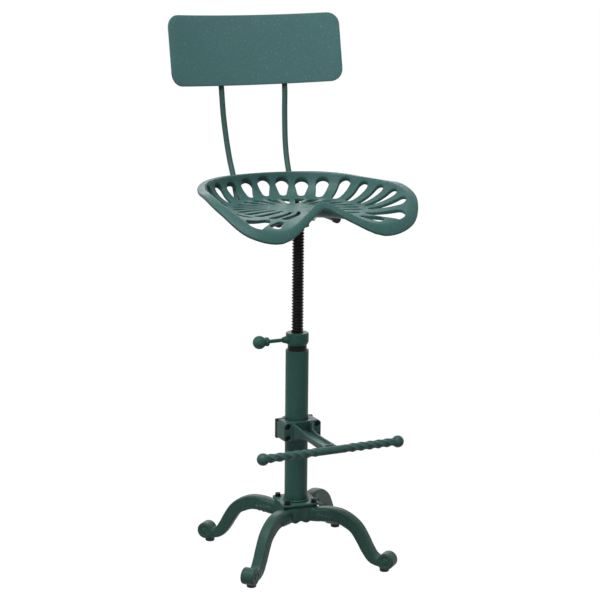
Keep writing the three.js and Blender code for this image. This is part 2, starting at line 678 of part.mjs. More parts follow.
const discDegrees = [0, 18, 36, 52, 66, 80, 95, 114, 134, 155, 170];
const discShare = 0.23;
const discBackShare = 0.04;
const discWidthShare = 0.013;

function seatSlots() {
  const cutters = [];
  const width = seat.halfWidth;
  for (const side of [-1, 1]) {
    for (let n = side > 0 ? 0 : 1; n < outerStartDegrees.length; n += 1) {
      cutters.push(slotCutter(
        {
          angle: side * outerStartDegrees[n], radius: outerStartShares[n] * width,
          halfWidth: outerStartWidthShares[n] * width,
        },
        {
          angle: side * outerEndDegrees[n], radius: outerEndShares[n] * width,
          halfWidth: outerEndWidthShares[n] * width,
        },
      ));
      const tip = discDegrees[n] * degrees;
      const tipX = discShare * width * Math.sin(tip) * side;
      const tipY = (discShare * Math.cos(tip) + discBackShare) * width;
      cutters.push(slotCutter(
        {
          angle: Math.atan2(tipX, tipY) / degrees, radius: Math.hypot(tipX, tipY),
          halfWidth: discWidthShare * width,
        },
        {
          angle: side * outerStartDegrees[n], radius: innerEndShares[n] * width,
          halfWidth: innerEndWidthShares[n] * width,
        },
        2,
      ));
    }
  }
  return cutters;
}

const boltPlaces = [[-1, 1], [1, 1], [-1, -1], [1, -1]]
  .map(([x, y]) => [x * seatBolt.acrossPlace, y * seatBolt.alongPlace]);

// A countersunk screw: a flat head that tapers to the shank, its top at z = 0.
function countersunk(clearance, length) {
  const { shankRadius, headRadius, rimHeight, headHeight } = seatBolt;
  return turned([
    [0, -length], [shankRadius + clearance, -length], [shankRadius + clearance, -headHeight],
    [headRadius + clearance, -rimHeight], [headRadius + clearance, 0], [0, 0],
  ], 14);
}

function seatPan() {
  const holes = boltPlaces.map(([x, y]) => countersunk(gap, seat.dishDepth)
    .translate(x, y, seat.floorHeight));
  const pierced = seatSlots().map(toSolid)
    .reduce((pan, tool) => pan.subtract(tool), toSolid(seatShell())).simplify(seat.grain);
  return toGeometry(holes.map(toSolid).reduce((pan, tool) => pan.subtract(tool), pierced));
}

const seated = new THREE.Group();
stool.add(seated);
place(seated, 'seat_pan', seatPan(), green());

// Carrier plate under the pan, and the hub below it that holds the screw.
const carrierHoles = boltPlaces.map(([x, y]) => rod3(seatBolt.shankRadius + gap,
  carrierBottom - overrun, carrierTop + overrun, 12).translate(x, y, 0));
const carrierBody = raised(roundedRectangle(carrier.width, carrier.depth, carrier.cornerRadius),
  carrierBottom, carrierTop, 5);
place(seated, 'seat_carrier', cut(carrierBody, ...carrierHoles), blackSteel());

const hubSleeve = turned([
  [screw.spigotRadius + gap, hubBottom], [hub.radius - hub.chamfer, hubBottom],
  [hub.radius, hubBottom + hub.chamfer], [hub.radius, hubFace],
  [screw.spigotRadius + gap, hubFace],
], 28);
place(seated, 'seat_hub', hubSleeve, green());

boltPlaces.forEach(([x, y], i) => {
  const socket = rod3(seatBolt.socketRadius, -seatBolt.socketDepth, overrun, 6);
  const bolt = cut(countersunk(0, seatBolt.length), socket);
  place(seated, `seat_bolt_${i + 1}`, bolt.translate(x, y, seat.floorHeight), green());
  const nut = hexagonNut(seatBolt.nutRadius, seatBolt.shankRadius + gap,
    hubFace - seatBolt.nutHeight, hubFace);
  place(seated, `seat_nut_${i + 1}`, nut.translate(x, y, 0), zincSteel());
});

// Stop bolt and washer hold the guide sleeve on the screw's foot, inside the pipe.
const studFoot = threadBottom - screw.studLength;
const washerTop = studFoot - gap;
const washerFoot = washerTop - stopWasher.thickness;
const boltHole = rod3(stopBolt.shankRadius + gap, studFoot - overrun,
  studFoot + stopBolt.depth, 20);
place(seated, 'height_screw', toGeometry(heightScrew().subtract(toSolid(boltHole))), blackSteel());
place(seated, 'stop_washer', ring(stopBolt.shankRadius + gap, stopWasher.radius,
  washerFoot, washerTop, 20), zincSteel());
const stopBody = socketScrew({
  ...stopBolt, length: studFoot + stopBolt.depth - washerFoot,
});
place(seated, 'stop_bolt', stopBody.rotateX(Math.PI).translate(0, 0, washerFoot - gap),
  zincSteel());

const guiding = new THREE.Group();
stool.add(guiding);
place(guiding, 'screw_guide', ring(screw.studRadius + gap, pipeBore - gap,
  studFoot + gap, threadBottom - gap, 32), nylon());

// Backrest: two bent rods under and behind the seat, capped in front, and the curved panel.
function onPanel(geometry) {
  return geometry.rotateX(-back.tiltDegrees * degrees)
    .translate(0, back.centreBack, backHeight);
}

const screwPlaces = [];
for (const side of [-1, 1]) {
  for (const height of [backScrew.lowPlace, backScrew.highPlace]) screwPlaces.push([side, height]);
}
const panelSag = (x) => back.bendRadius - Math.sqrt(back.bendRadius ** 2 - x * x);
const bossFace = back.thickness / 2 - panelSag(back.rodSpread) + backScrew.bossHeight;

const rodBehind = bossFace + gap + rod.radius;
const acrossAxis = new THREE.Vector3(1, 0, 0);

// The middle of a rod at a height on the panel.
function rodOnPanel(height) {
  return new THREE.Vector3(back.rodSpread, rodBehind, height)
    .applyAxisAngle(acrossAxis, -back.tiltDegrees * degrees)
    .add(new THREE.Vector3(0, back.centreBack, backHeight));
}

// A round bar along +Y at a place on the panel, used for bosses, screws and holes.
function throughPanel(radius, from, to, side, height, segments = 10) {
  return rod3(radius, from, to, segments).rotateX(-Math.PI / 2)
    .translate(side * back.rodSpread, 0, height);
}

function backRod(side) {
  const points = [new THREE.Vector3(rod.spread, rod.frontEnd, rodHeight)];
  for (const [spread, behind, rise] of rodShares) {
    points.push(new THREE.Vector3(spread * rod.spread, behind * back.centreBack,
      THREE.MathUtils.lerp(rodHeight, backHeight, rise)));
  }
  for (const height of rodOnPanelShares) points.push(rodOnPanel(height * back.height));
  for (const point of points) point.x *= side;
  const curve = new THREE.CatmullRomCurve3(points, false, 'centripetal');
  const stations = 28;
  const sides = 8;
  const rings = [];
  for (let i = 0; i <= stations; i += 1) {
    const centre = curve.getPointAt(i / stations);
    const along = curve.getTangentAt(i / stations);
    const across = new THREE.Vector3(1, 0, 0).addScaledVector(along, -along.x).normalize();
    const up = along.clone().cross(across);
    rings.push(Array.from({ length: sides }, (_, j) => {
      const angle = (j + 0.5) / sides * fullTurn;
      return centre.clone().addScaledVector(across, rod.radius * Math.cos(angle))
        .addScaledVector(up, rod.radius * Math.sin(angle)).toArray();
    }));
  }
  const holes = [backScrew.lowPlace, backScrew.highPlace].map((height) => onPanel(throughPanel(
    backScrew.shankRadius + gap, -overrun, rodBehind + rod.radius + overrun, side, height)));
  return cut(skin(rings), ...holes);
}

function backPanel() {
  const flat = raised(roundedRectangle(back.width, back.height, back.cornerRadius),
    -back.thickness / 2, back.thickness / 2, 6);
  let solid = toSolid(flat);
  const bandCount = 14;
  const bandWidth = back.width / bandCount;
  let bands = null;
  for (let i = 0; i < bandCount; i += 1) {
    const centre = (i + 0.5) * bandWidth - back.width / 2;
    const band = solid.intersect(toSolid(slab(bandWidth, back.width, -back.thickness,
      back.thickness, centre)));
    bands = bands ? bands.add(band) : band;
  }
  const bent = bands.rotate([90, 0, 0]).warp((point) => {
    const turn = point[0] / back.bendRadius;
    const reach = back.bendRadius + point[1];
    point[0] = reach * Math.sin(turn);
    point[1] = reach * Math.cos(turn) - back.bendRadius;
  });
  solid = bent;
  for (const [side, height] of screwPlaces) {
    solid = solid.add(toSolid(throughPanel(backScrew.bossRadius,
      bossFace - backScrew.bossHeight - back.thickness / 2, bossFace, side, height, 16)));
  }
  for (const [side, height] of screwPlaces) {
    solid = solid.subtract(toSolid(throughPanel(backScrew.shankRadius + gap,
      bossFace - backScrew.holeDepth, bossFace + overrun, side, height)));
  }
  return onPanel(toGeometry(solid));
}

for (const [side, word] of [[-1, 'left'], [1, 'right']]) {
  place(seated, `backrest_rod_${word}`, backRod(side), green());
  const bore = rod.radius + gap;
  const cap = turned([
    [0, 0], [rodCap.radius - rodCap.edge, 0], [rodCap.radius, rodCap.edge],
    [rodCap.radius, rodCap.length], [bore, rodCap.length], [bore, rodCap.wall], [0, rodCap.wall],
  ], 16).rotateX(-Math.PI / 2);
  const capFront = rod.frontEnd - gap - rodCap.wall;
  place(seated, `rod_end_cap_${word}`, cap.translate(side * rod.spread, capFront, rodHeight),
    rubber());
}
place(seated, 'backrest_panel', backPanel(), greenPanel());
screwPlaces.forEach(([side, height], i) => {
  const seatFace = rodBehind + rod.radius + gap;
  const length = seatFace - bossFace + backScrew.reach;
  const body = socketScrew({ ...backScrew, length }).rotateX(-Math.PI / 2);
  body.translate(side * back.rodSpread, seatFace, height);
  place(seated, `backrest_screw_${i + 1}`, onPanel(body), blackSteel());
});

// Footrest: a two-piece clamp on the pipe, with two arms that carry the twisted bar.
const resting = new THREE.Group();
stool.add(resting);
const boreRadius = pipe + gap;
const clampTop = clamp.foot + clamp.height;
const clampMiddle = clamp.foot + clamp.height / 2;
const barHeight = clamp.foot + bar.rise;
const boltSpots = [];
for (const side of [-1, 1]) {
  for (const rise of [-1, 1]) {
    boltSpots.push([side * clamp.boltAcross, clampMiddle + rise * clamp.boltRise]);
  }
}

function alongY(radius, from, to, x, z, segments = 12) {
  return rod3(radius, from, to, segments).rotateX(-Math.PI / 2).translate(x, 0, z);
}

const armRows = armShares.map(([along, across, low, high]) => [
  along * bar.place, across * clamp.halfWidth,
  clamp.foot + low * clamp.height, clamp.foot + high * clamp.height,
]);

function armBody(side) {
  const rings = armRows.map(([y, across, low, high]) => [
    [side * across - arm.halfThickness, y, low], [side * across + arm.halfThickness, y, low],
    [side * across + arm.halfThickness, y, high], [side * across - arm.halfThickness, y, high],
  ]);
  return skin(rings);
}

function footrestBracket() {
  const depth = clamp.back - clamp.front;
  const centreY = (clamp.back + clamp.front) / 2;
  const outline = new THREE.Shape();
  const { halfWidth: x, corner } = clamp;
  const bottom = -clamp.height / 2;
  const top = clamp.height / 2;
  outline.moveTo(-x + corner, bottom);
  outline.lineTo(x - corner, bottom);
  outline.lineTo(x, bottom + corner);
  outline.lineTo(x, top - corner);
  outline.lineTo(x - corner, top);
  outline.lineTo(-x + corner, top);
  outline.lineTo(-x, top - corner);
  outline.lineTo(-x, bottom + corner);
  const block = raised(outline, -depth / 2, depth / 2).rotateX(Math.PI / 2)
    .translate(0, centreY, clampMiddle);
  const last = armRows[armRows.length - 1];
  const innerArm = last[1];
  const webEnd = bar.place + arm.webStop;
  const web = slab(2 * innerArm, clamp.front - webEnd, barHeight - arm.webDrop,
    barHeight + arm.webRise, 0, (clamp.front + webEnd) / 2);
  const wall = slab(2 * innerArm, arm.wallThickness, last[2], last[3],
    0, bar.place + arm.wallStop + arm.wallThickness / 2);
  const body = join(block, armBody(-1), armBody(1), web, wall);
  const bore = rod3(boreRadius, clamp.foot - overrun, clampTop + overrun, 32);
  const mouth = slab(2 * boreRadius, 2 * clamp.back, clamp.foot - overrun,
    clampTop + overrun, 0, clamp.back);
  const cradleEnd = innerArm + arm.halfThickness + overrun;
  const cradle = rod3(bar.radius + gap, -cradleEnd, cradleEnd, 32).rotateY(Math.PI / 2)
    .translate(0, bar.place, barHeight);
  const tools = [bore, mouth, cradle];
  for (const [boltX, boltZ] of boltSpots) {
    tools.push(alongY(clamp.boltHoleRadius, clamp.front - overrun, clamp.back + overrun,
      boltX, boltZ));
    tools.push(alongY(clamp.counterboreRadius, clamp.front - overrun,
      clamp.front + clamp.counterboreDepth, boltX, boltZ));
  }
  return cut(body, ...tools);
}

function clampRear() {
  const outer = boreRadius + clamp.bandThickness;
  const band = rod3(outer, clamp.foot, clampTop, 32);
  const flange = slab(2 * clamp.halfWidth, clamp.flangeBack - clamp.flangeFront,
    clamp.foot, clampTop, 0, (clamp.flangeBack + clamp.flangeFront) / 2);
  const bore = rod3(boreRadius, clamp.foot - overrun, clampTop + overrun, 32);
  const front = slab(2 * clamp.halfWidth + overrun, 2 * outer, clamp.foot - overrun,
    clampTop + overrun, 0, clamp.flangeFront - outer);
  const holes = boltSpots.map(([boltX, boltZ]) => alongY(clamp.boltHoleRadius,
    clamp.flangeFront - overrun, clamp.flangeBack + overrun, boltX, boltZ));
  return cut(join(band, flange), bore, front, ...holes);
}

function footrestBar() {
  const stations = 42;
  const rings = [];
  for (let i = 0; i <= stations; i += 1) {
    const x = (i / stations * 2 - 1) * bar.halfLength;
    const beyondPlain = Math.max(0, Math.abs(x) - bar.plainHalfLength);
    const share = smooth(beyondPlain / bar.plainHalfLength);
    const twist = Math.sign(x) * beyondPlain / bar.twistPitch * fullTurn;
    rings.push(Array.from({ length: 8 }, (_, j) => {
      const corner = j % 2 ? bar.cornerRadius : bar.radius * barFlatShare;
      const radius = THREE.MathUtils.lerp(bar.radius, corner, share);
      const angle = j / 8 * fullTurn + twist;
      return [x, radius * Math.cos(angle), radius * Math.sin(angle)];
    }));
  }
  const parts = [skin(rings)];
  for (const side of [-1, 1]) {
    parts.push(new THREE.SphereGeometry(bar.ballRadius, 14, 8)
      .translate(side * bar.halfLength, 0, 0));
  }
  return join(...parts).translate(0, bar.place, barHeight);
}

place(resting, 'footrest_bracket', footrestBracket(), green());
place(resting, 'footrest_clamp_rear', clampRear(), blackSteel());
place(resting, 'footrest_bar', footrestBar(), green());
boltSpots.forEach(([x, z], i) => {
  const seatFace = clamp.front + clamp.counterboreDepth - gap;
  const body = socketScrew(clampBolt).rotateX(Math.PI / 2).translate(x, seatFace, z);
  place(resting, `clamp_bolt_${i + 1}`, body, blackSteel());
});

// The stool stands with the middle of its footprint at the origin.
const bounds = new THREE.Box3().setFromObject(stool);
const whole = new THREE.Group();
whole.add(stool);
stool.position.y = -(bounds.min.y + bounds.max.y) / 2;
whole.updateMatrixWorld(true);

export default whole;
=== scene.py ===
from math import cos, radians, sin, tau

import bmesh
import bpy
import numpy as np
from mathutils import Matrix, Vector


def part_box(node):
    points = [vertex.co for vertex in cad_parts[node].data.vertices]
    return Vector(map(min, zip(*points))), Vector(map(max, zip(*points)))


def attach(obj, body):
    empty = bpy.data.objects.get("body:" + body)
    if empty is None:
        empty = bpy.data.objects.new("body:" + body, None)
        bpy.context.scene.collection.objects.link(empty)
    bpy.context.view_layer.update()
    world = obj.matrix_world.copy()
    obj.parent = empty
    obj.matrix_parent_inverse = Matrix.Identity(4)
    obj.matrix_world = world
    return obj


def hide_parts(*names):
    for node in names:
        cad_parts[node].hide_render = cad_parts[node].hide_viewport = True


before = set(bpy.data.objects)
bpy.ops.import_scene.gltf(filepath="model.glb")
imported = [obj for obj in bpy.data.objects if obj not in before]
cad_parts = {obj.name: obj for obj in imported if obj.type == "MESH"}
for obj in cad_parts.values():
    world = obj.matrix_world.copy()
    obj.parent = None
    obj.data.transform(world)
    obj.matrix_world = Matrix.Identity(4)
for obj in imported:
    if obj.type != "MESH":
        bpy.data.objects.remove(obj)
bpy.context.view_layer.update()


# Camera
# The photographer stood in front of the stool, a little to its left, with a long lens at the
# height of a table. Distances are in metres, from the column's foot.
CAMERA_TURN = radians(-25.985)
CAMERA_LIFT = radians(12.322)
CAMERA_ROLL = radians(0.567)
CAMERA_DISTANCE = 3.794
CAMERA_LENS = 109.5
CAMERA_REACH = 60
AIM_ASIDE = 0.00489
AIM_HEIGHT = 0.55972

column_low, column_high = (np.array(corner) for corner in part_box("column_tube"))
COLUMN = (column_low + column_high) / 2 * [1, 1, 0]
away = np.array([sin(CAMERA_TURN) * cos(CAMERA_LIFT), -cos(CAMERA_TURN) * cos(CAMERA_LIFT),
                 sin(CAMERA_LIFT)])
level = np.array([cos(CAMERA_TURN), sin(CAMERA_TURN), 0])
upward = np.cross(away, level)
tilted = cos(CAMERA_ROLL) * level + sin(CAMERA_ROLL) * upward
risen = cos(CAMERA_ROLL) * upward - sin(CAMERA_ROLL) * level
aim = COLUMN + [0, 0, AIM_HEIGHT] + AIM_ASIDE * level
camera_data = bpy.data.cameras.new("photo_camera")
camera_data.lens = CAMERA_LENS
camera_data.clip_end = CAMERA_REACH
camera = bpy.data.objects.new("photo_camera", camera_data)
bpy.context.collection.objects.link(camera)
pose = np.eye(4)
pose[:3, 0], pose[:3, 1], pose[:3, 2] = tilted, risen, away
pose[:3, 3] = aim + CAMERA_DISTANCE * away
camera.matrix_world = Matrix([list(row) for row in pose])
bpy.context.scene.camera = camera
bpy.context.scene.view_settings.view_transform = "Standard"


# Floor and light
# A white studio sweep: a wide matt floor that shows white with a faint shadow, a strong soft lamp
# overhead, weak ones in front and behind, and a dim room that shows white.
FLOOR_REACH = 30
FLOOR_TONE = (0.22, 0.22, 0.22, 1)
FLOOR_GLOW = 1.12
SHADOW_SHARE = 0.1
ROOM_STRENGTH = 0.08
OVERHEAD = {"power": 110, "size": 1.8, "place": (-1.0, -0.7, 3.2), "toward": (0, 0, 0.6)}
FRONT = {"power": 12, "size": 1.6, "place": (-2.4, -4.6, 2.0), "toward": (0, 0, 0.6)}
REAR = {"power": 34, "size": 2.2, "place": (2.2, 4.2, 1.8), "toward": (0, 0, 0.6)}


def node(tree, kind, inputs=None, **settings):
    """Adds one shader node, sets its own settings, then its sockets by name or number."""
    made = tree.nodes.new(kind)
    for name, value in settings.items():
        setattr(made, name, value)
    for key, value in (inputs or {}).items():
        if isinstance(value, bpy.types.NodeSocket):
            tree.links.new(value, made.inputs[key])
        else:
            made.inputs[key].default_value = value
    return made


def reckoned(tree, operation, *values, **settings):
    """The result of one Math node on the values."""
    return node(tree, "ShaderNodeMath", dict(enumerate(values)), operation=operation,
                **settings).outputs[0]


def remapped(tree, value, start, end, first=0.0, last=1.0):
    """A value's stretch from start to end spread from first to last, and held beyond them."""
    return node(tree, "ShaderNodeMapRange", {"Value": value, "From Min": start, "From Max": end,
                                             "To Min": first, "To Max": last}).outputs[0]


def seen_ray(tree):
    """One for rays that show the background: from the camera, in gloss, or through glass."""
    path = node(tree, "ShaderNodeLightPath").outputs
    seen = reckoned(tree, "ADD", path["Is Camera Ray"], path["Is Glossy Ray"], use_clamp=True)
    return reckoned(tree, "ADD", seen, path["Is Transmission Ray"], use_clamp=True)


def fresh_material(name):
    """An empty material with its output node."""
    material = bpy.data.materials.new(name)
    material.use_nodes = True
    material.node_tree.nodes.clear()
    return material, node(material.node_tree, "ShaderNodeOutputMaterial")


floor_mesh = bpy.data.meshes.new("studio_floor")
corners = [(-1, -1), (1, -1), (1, 1), (-1, 1)]
floor_spots = [(x * FLOOR_REACH, y * FLOOR_REACH, 0) for x, y in corners]
floor_mesh.from_pydata(floor_spots, [], [range(4)])
floor = bpy.data.objects.new("studio_floor", floor_mesh)
bpy.context.collection.objects.link(floor)
floor_paint, floor_out = fresh_material("studio_white")
tree = floor_paint.node_tree
matt = node(tree, "ShaderNodeBsdfDiffuse", {"Color": FLOOR_TONE})
glow = node(tree, "ShaderNodeEmission", {"Color": (1, 1, 1, 1), "Strength": FLOOR_GLOW})
glow_share = reckoned(tree, "MULTIPLY", seen_ray(tree), 1 - SHADOW_SHARE)
glowing = node(tree, "ShaderNodeMixShader", {0: glow_share, 1: matt.outputs[0],
                                             2: glow.outputs[0]})
tree.links.new(glowing.outputs[0], floor_out.inputs[0])
floor_mesh.materials.append(floor_paint)

room = bpy.data.worlds.new("studio_room")
bpy.context.scene.world = room
room.use_nodes = True
tree = room.node_tree
tree.nodes.clear()
strength = remapped(tree, seen_ray(tree), 0.0, 1.0, ROOM_STRENGTH, 1.0)
surround = node(tree, "ShaderNodeBackground", {"Color": (1, 1, 1, 1), "Strength": strength})
node(tree, "ShaderNodeOutputWorld", {"Surface": surround.outputs[0]})


def soft_lamp(name, power, size, place, toward):
    """A square area lamp that faces a point."""
    data = bpy.data.lights.new(name, "AREA")
    data.energy, data.size = power, size
    lamp = bpy.data.objects.new(name, data)
    lamp.visible_camera = False
    bpy.context.collection.objects.link(lamp)
    back = np.array(place, float) - np.array(toward, float)
    back /= np.linalg.norm(back)
    side = np.cross([0, 1, 0] if abs(back[2]) > 0.9 else [0, 0, 1], back)
    side /= np.linalg.norm(side)
    turn = np.eye(4)
    turn[:3, 0], turn[:3, 1], turn[:3, 2], turn[:3, 3] = side, np.cross(back, side), back, place
    lamp.matrix_world = Matrix([list(row) for row in turn])


soft_lamp("overhead_lamp", **OVERHEAD)
soft_lamp("front_lamp", **FRONT)
soft_lamp("rear_lamp", **REAR)


# Seat pan
# The dished seat is one iron casting with two rings of slots, a flat disc in the middle and a
# turned rim. It has a textured green paint with pale flecks. Sizes are millimetres from here on.


def box_of(node_name):
    """A CAD node's lowest and highest corners, in millimetres about the column's axis."""
    corners = np.array([tuple(corner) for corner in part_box(node_name)])
    return np.round((corners - COLUMN) * 1000, 3)


FLOOR_HEIGHT = box_of("seat_bolt_1")[1][2]
CARRIER_LOW, CARRIER_HIGH = box_of("seat_carrier")
DISH_DEPTH = 52
HALF_WIDTH = 226
SLOT_CENTRE_BACK = 22
PAN_WALL = 4.5
RIB_WALL = 7.2
CARRIER_MARGIN = 10
RIM_WALL = 6
RIM_SQUARE = 0.5
NARROW_BAND = 8
RIM_DROOP = 1.6
RIM_FOLD = 1.85
EASED_ROWS = 0.09
SLOT_DRAW = 0.7
EDGE_ROUND = 1.7
FRONT_RIB = 13
# Shares of the half width or the depth, every 15 degrees from the back to the front.
RIM_RADII = (0.7, 0.707, 0.743, 0.79, 0.841, 0.889, 0.947, 1.031, 1.128, 1.137, 0.985, 0.752,
             0.628)
RIM_HEIGHTS = (1, 1, 1, 1, 0.965, 0.9, 0.885, 0.865, 0.46, -0.35, -0.64, -0.06, 0.38)
CREST_HEIGHTS = (0.985, 0.985, 0.985, 0.985, 0.965, 0.925, 0.92, 0.885, 0.6, 0, -0.2, 0.3, 0.66)
CREST_INSETS = (0.022, 0.022, 0.03, 0.042, 0.055, 0.07, 0.085, 0.095, 0.1, 0.1, 0.1, 0.08, 0.07)
WALL_STARTS = (0.52, 0.52, 0.52, 0.52, 0.53, 0.54, 0.54, 0.54, 0.52, 0.5, 0.45, 0.4, 0.36)
WALL_STEEPNESS = (0.95, 0.95, 0.93, 0.9, 0.85, 0.75, 0.68, 0.62, 0.5, 0.4, 0.35, 0.45, 0.5)
# Slots 0 to 10 from the back to the front: degrees, radii and half widths as shares.
OUTER_START_TURNS = (0, 16, 32, 48, 63, 78.5, 94, 107.5, 121, 135, 145.5)
OUTER_START_RADII = (0.589, 0.591, 0.597, 0.602, 0.611, 0.615, 0.633, 0.659, 0.681, 0.69, 0.69)
OUTER_START_WIDTHS = (0.037, 0.037, 0.037, 0.039, 0.042, 0.044, 0.043, 0.041, 0.038, 0.033, 0.027)
OUTER_END_TURNS = (0, 15.8, 31.7, 47.5, 64.5, 80.5, 96, 109.5, 121.5, 135, 143)
OUTER_END_RADII = (0.676, 0.682, 0.708, 0.745, 0.79, 0.819, 0.867, 0.945, 1.03, 1.053, 0.903)
OUTER_END_WIDTHS = (0.066, 0.066, 0.066, 0.064, 0.062, 0.06, 0.058, 0.058, 0.066, 0.1, 0.05)
INNER_END_RADII = (0.535, 0.54, 0.544, 0.549, 0.558, 0.566, 0.584, 0.606, 0.619, 0.628, 0.611)
INNER_END_WIDTHS = (0.046, 0.046, 0.046, 0.046, 0.046, 0.044, 0.042, 0.04, 0.038, 0.036, 0.036)
DISC_TURNS = (0, 18, 36, 52, 66, 80, 95, 114, 134, 155, 170)
DISC_RADIUS = 0.23
DISC_BACK = 0.04
DISC_WIDTH = 0.013
DISC_MARGIN = 0.04
BAND_MARGIN = 0.25
# Degrees from the back at which the front strip starts on the disc, and degrees past the last
# slot at which it starts on the ring and on the crest.
FRONT_DISC_TURN = 176.5
FRONT_RING_STEP = 5.5
FRONT_CREST_STEP = 7
SPINE_STEPS = 40
SIDE_STEPS = 14
END_STEPS = 8
FRONT_STEPS = 16


def smooth(share):
    """Zero below 0, one above 1, and an S-shaped rise between."""
    share = np.clip(share, 0, 1)
    return share * share * (3 - 2 * share)


def around(shares, turn):
    """A smooth curve through shares that stand evenly from the back to the front, mirrored."""
    shares = np.asarray(shares, float)
    last = len(shares) - 1
    spot = np.abs((turn + 540) % 360 - 180) / 180 * last
    low = np.minimum(np.floor(spot).astype(int), last - 1)

    def at(index):
        """A share past either end is read from the other side, as in a mirror."""
        index = np.abs(index)
        return shares[np.where(index > last, 2 * last - index, index)]

    a, b, c, d = at(low - 1), at(low), at(low + 1), at(low + 2)
    t = spot - low
    return b + 0.5 * t * (c - a + t * (2 * a - 5 * b + 4 * c - d + t * (3 * (b - c) + d - a)))


def sharp_top(turn, row):
    """The pan's top at a turn from the back and a row: 1 foot of the wall, 2 crest, 3 rim. The
    floor is flat to row 1, the wall rises as an arc to row 2, and the band runs on to row 3."""
    turn, row = np.broadcast_arrays(np.asarray(turn, float), np.asarray(row, float))
    rim = around(RIM_RADII, turn) * HALF_WIDTH
    crest = rim - around(CREST_INSETS, turn) * HALF_WIDTH
    wall = around(WALL_STARTS, turn) * HALF_WIDTH
    steep = around(WALL_STEEPNESS, turn) * tau / 4
    crest_rise = around(CREST_HEIGHTS, turn) * DISH_DEPTH
    rim_rise = around(RIM_HEIGHTS, turn) * DISH_DEPTH
    bend = np.clip(row - 1, 0, 1) * steep
    band = np.clip(row - 2, 0, 1)
    radius = (np.minimum(row, 1) * wall + (crest - wall) * np.sin(bend) / np.sin(steep)
              + (rim - crest) * band)
    height = (FLOOR_HEIGHT + crest_rise * (1 - np.cos(bend)) / (1 - np.cos(steep))
              + (rim_rise - crest_rise) * band ** RIM_DROOP)
    angle = np.radians(turn)
    back = SLOT_CENTRE_BACK + radius * np.cos(angle)
    return np.stack([radius * np.sin(angle), back, height], -1)


def pan_top(turn, row):
    """The same top with its crest and wall foot eased, as the mean of five rows side by side."""
    row = np.asarray(row, float)
    reach = EASED_ROWS * np.clip(np.minimum(3 - row, row) / EASED_ROWS, 0, 1)
    return sum(sharp_top(turn, row + reach * step) for step in (-1, -0.5, 0, 0.5, 1)) / 5


def pan_normal(turn, row):
    """The upward square direction, from small steps round and across the pan."""
    row = np.maximum(row, 0.02)
    across = pan_top(turn + 0.4, row) - pan_top(turn - 0.4, row)
    outward = pan_top(turn, np.minimum(row + 0.02, 3)) - pan_top(turn, row - 0.01)
    normal = np.cross(outward, across)
    normal /= np.linalg.norm(normal, axis=-1, keepdims=True)
    return normal * np.where(normal[..., 2:] < 0, -1, 1)


def pan_wall(turn, row):
    """The pan's thickness: thin where it lies on the carrier plate, thick in the ribs round it."""
    clear = np.max(np.abs(pan_top(turn, row)[..., :2]) - CARRIER_HIGH[:2], axis=-1)
    return PAN_WALL + (RIB_WALL - PAN_WALL) * smooth(clear / CARRIER_MARGIN)


def pan_under(turn, row):
    """The underside: one wall below the top, run straight behind the narrow part of the rim."""
    turn, row = np.broadcast_arrays(np.asarray(turn, float), np.asarray(row, float))

    def below(at):
        """One wall square below the top, at a row."""
        return pan_top(turn, at) - pan_normal(turn, at) * pan_wall(turn, at)[..., None]

    band = around(CREST_INSETS, turn) * HALF_WIDTH
    wide = smooth((band - NARROW_BAND) / NARROW_BAND)[..., None]
    share = ((row - RIM_FOLD) / (3 - RIM_FOLD))[..., None]
    fold, rim = below(np.full_like(row, RIM_FOLD)), below(np.full_like(row, 3.0))
    direct = fold * (1 - share) + rim * share
    plain = below(row)
    return np.where(row[..., None] <= RIM_FOLD, plain, direct * (1 - wide) + plain * wide)


def row_at(turn, radius):
    """The row at which the pan's top has a radius, by halving."""
    low, high = np.zeros_like(turn), np.full_like(turn, 3.0)
    for _ in range(30):
        middle = (low + high) / 2
        point = sharp_top(turn, middle)
        short = np.hypot(point[..., 0], point[..., 1] - SLOT_CENTRE_BACK) < radius
        low, high = np.where(short, middle, low), np.where(short, high, middle)
    return (low + high) / 2


def slot_spine(start, end):
    """Turns and rows along the middle of a slot, between two (turn, radius) places."""
    share = np.linspace(0, 1, SPINE_STEPS + 1)
    turn = start[0] + (end[0] - start[0]) * share
    radius = start[1] + (end[1] - start[1]) * share
    return np.stack([turn, row_at(turn, radius)], -1)


def evenly(points, count):
    """Points of a line, taken again at even distances along it."""
    reach = np.r_[0, np.cumsum(np.linalg.norm(np.diff(points, axis=0), axis=1))]
    even = np.linspace(0, reach[-1], count + 1)
    return np.stack([np.interp(even, reach, points[:, k]) for k in range(points.shape[1])], -1)


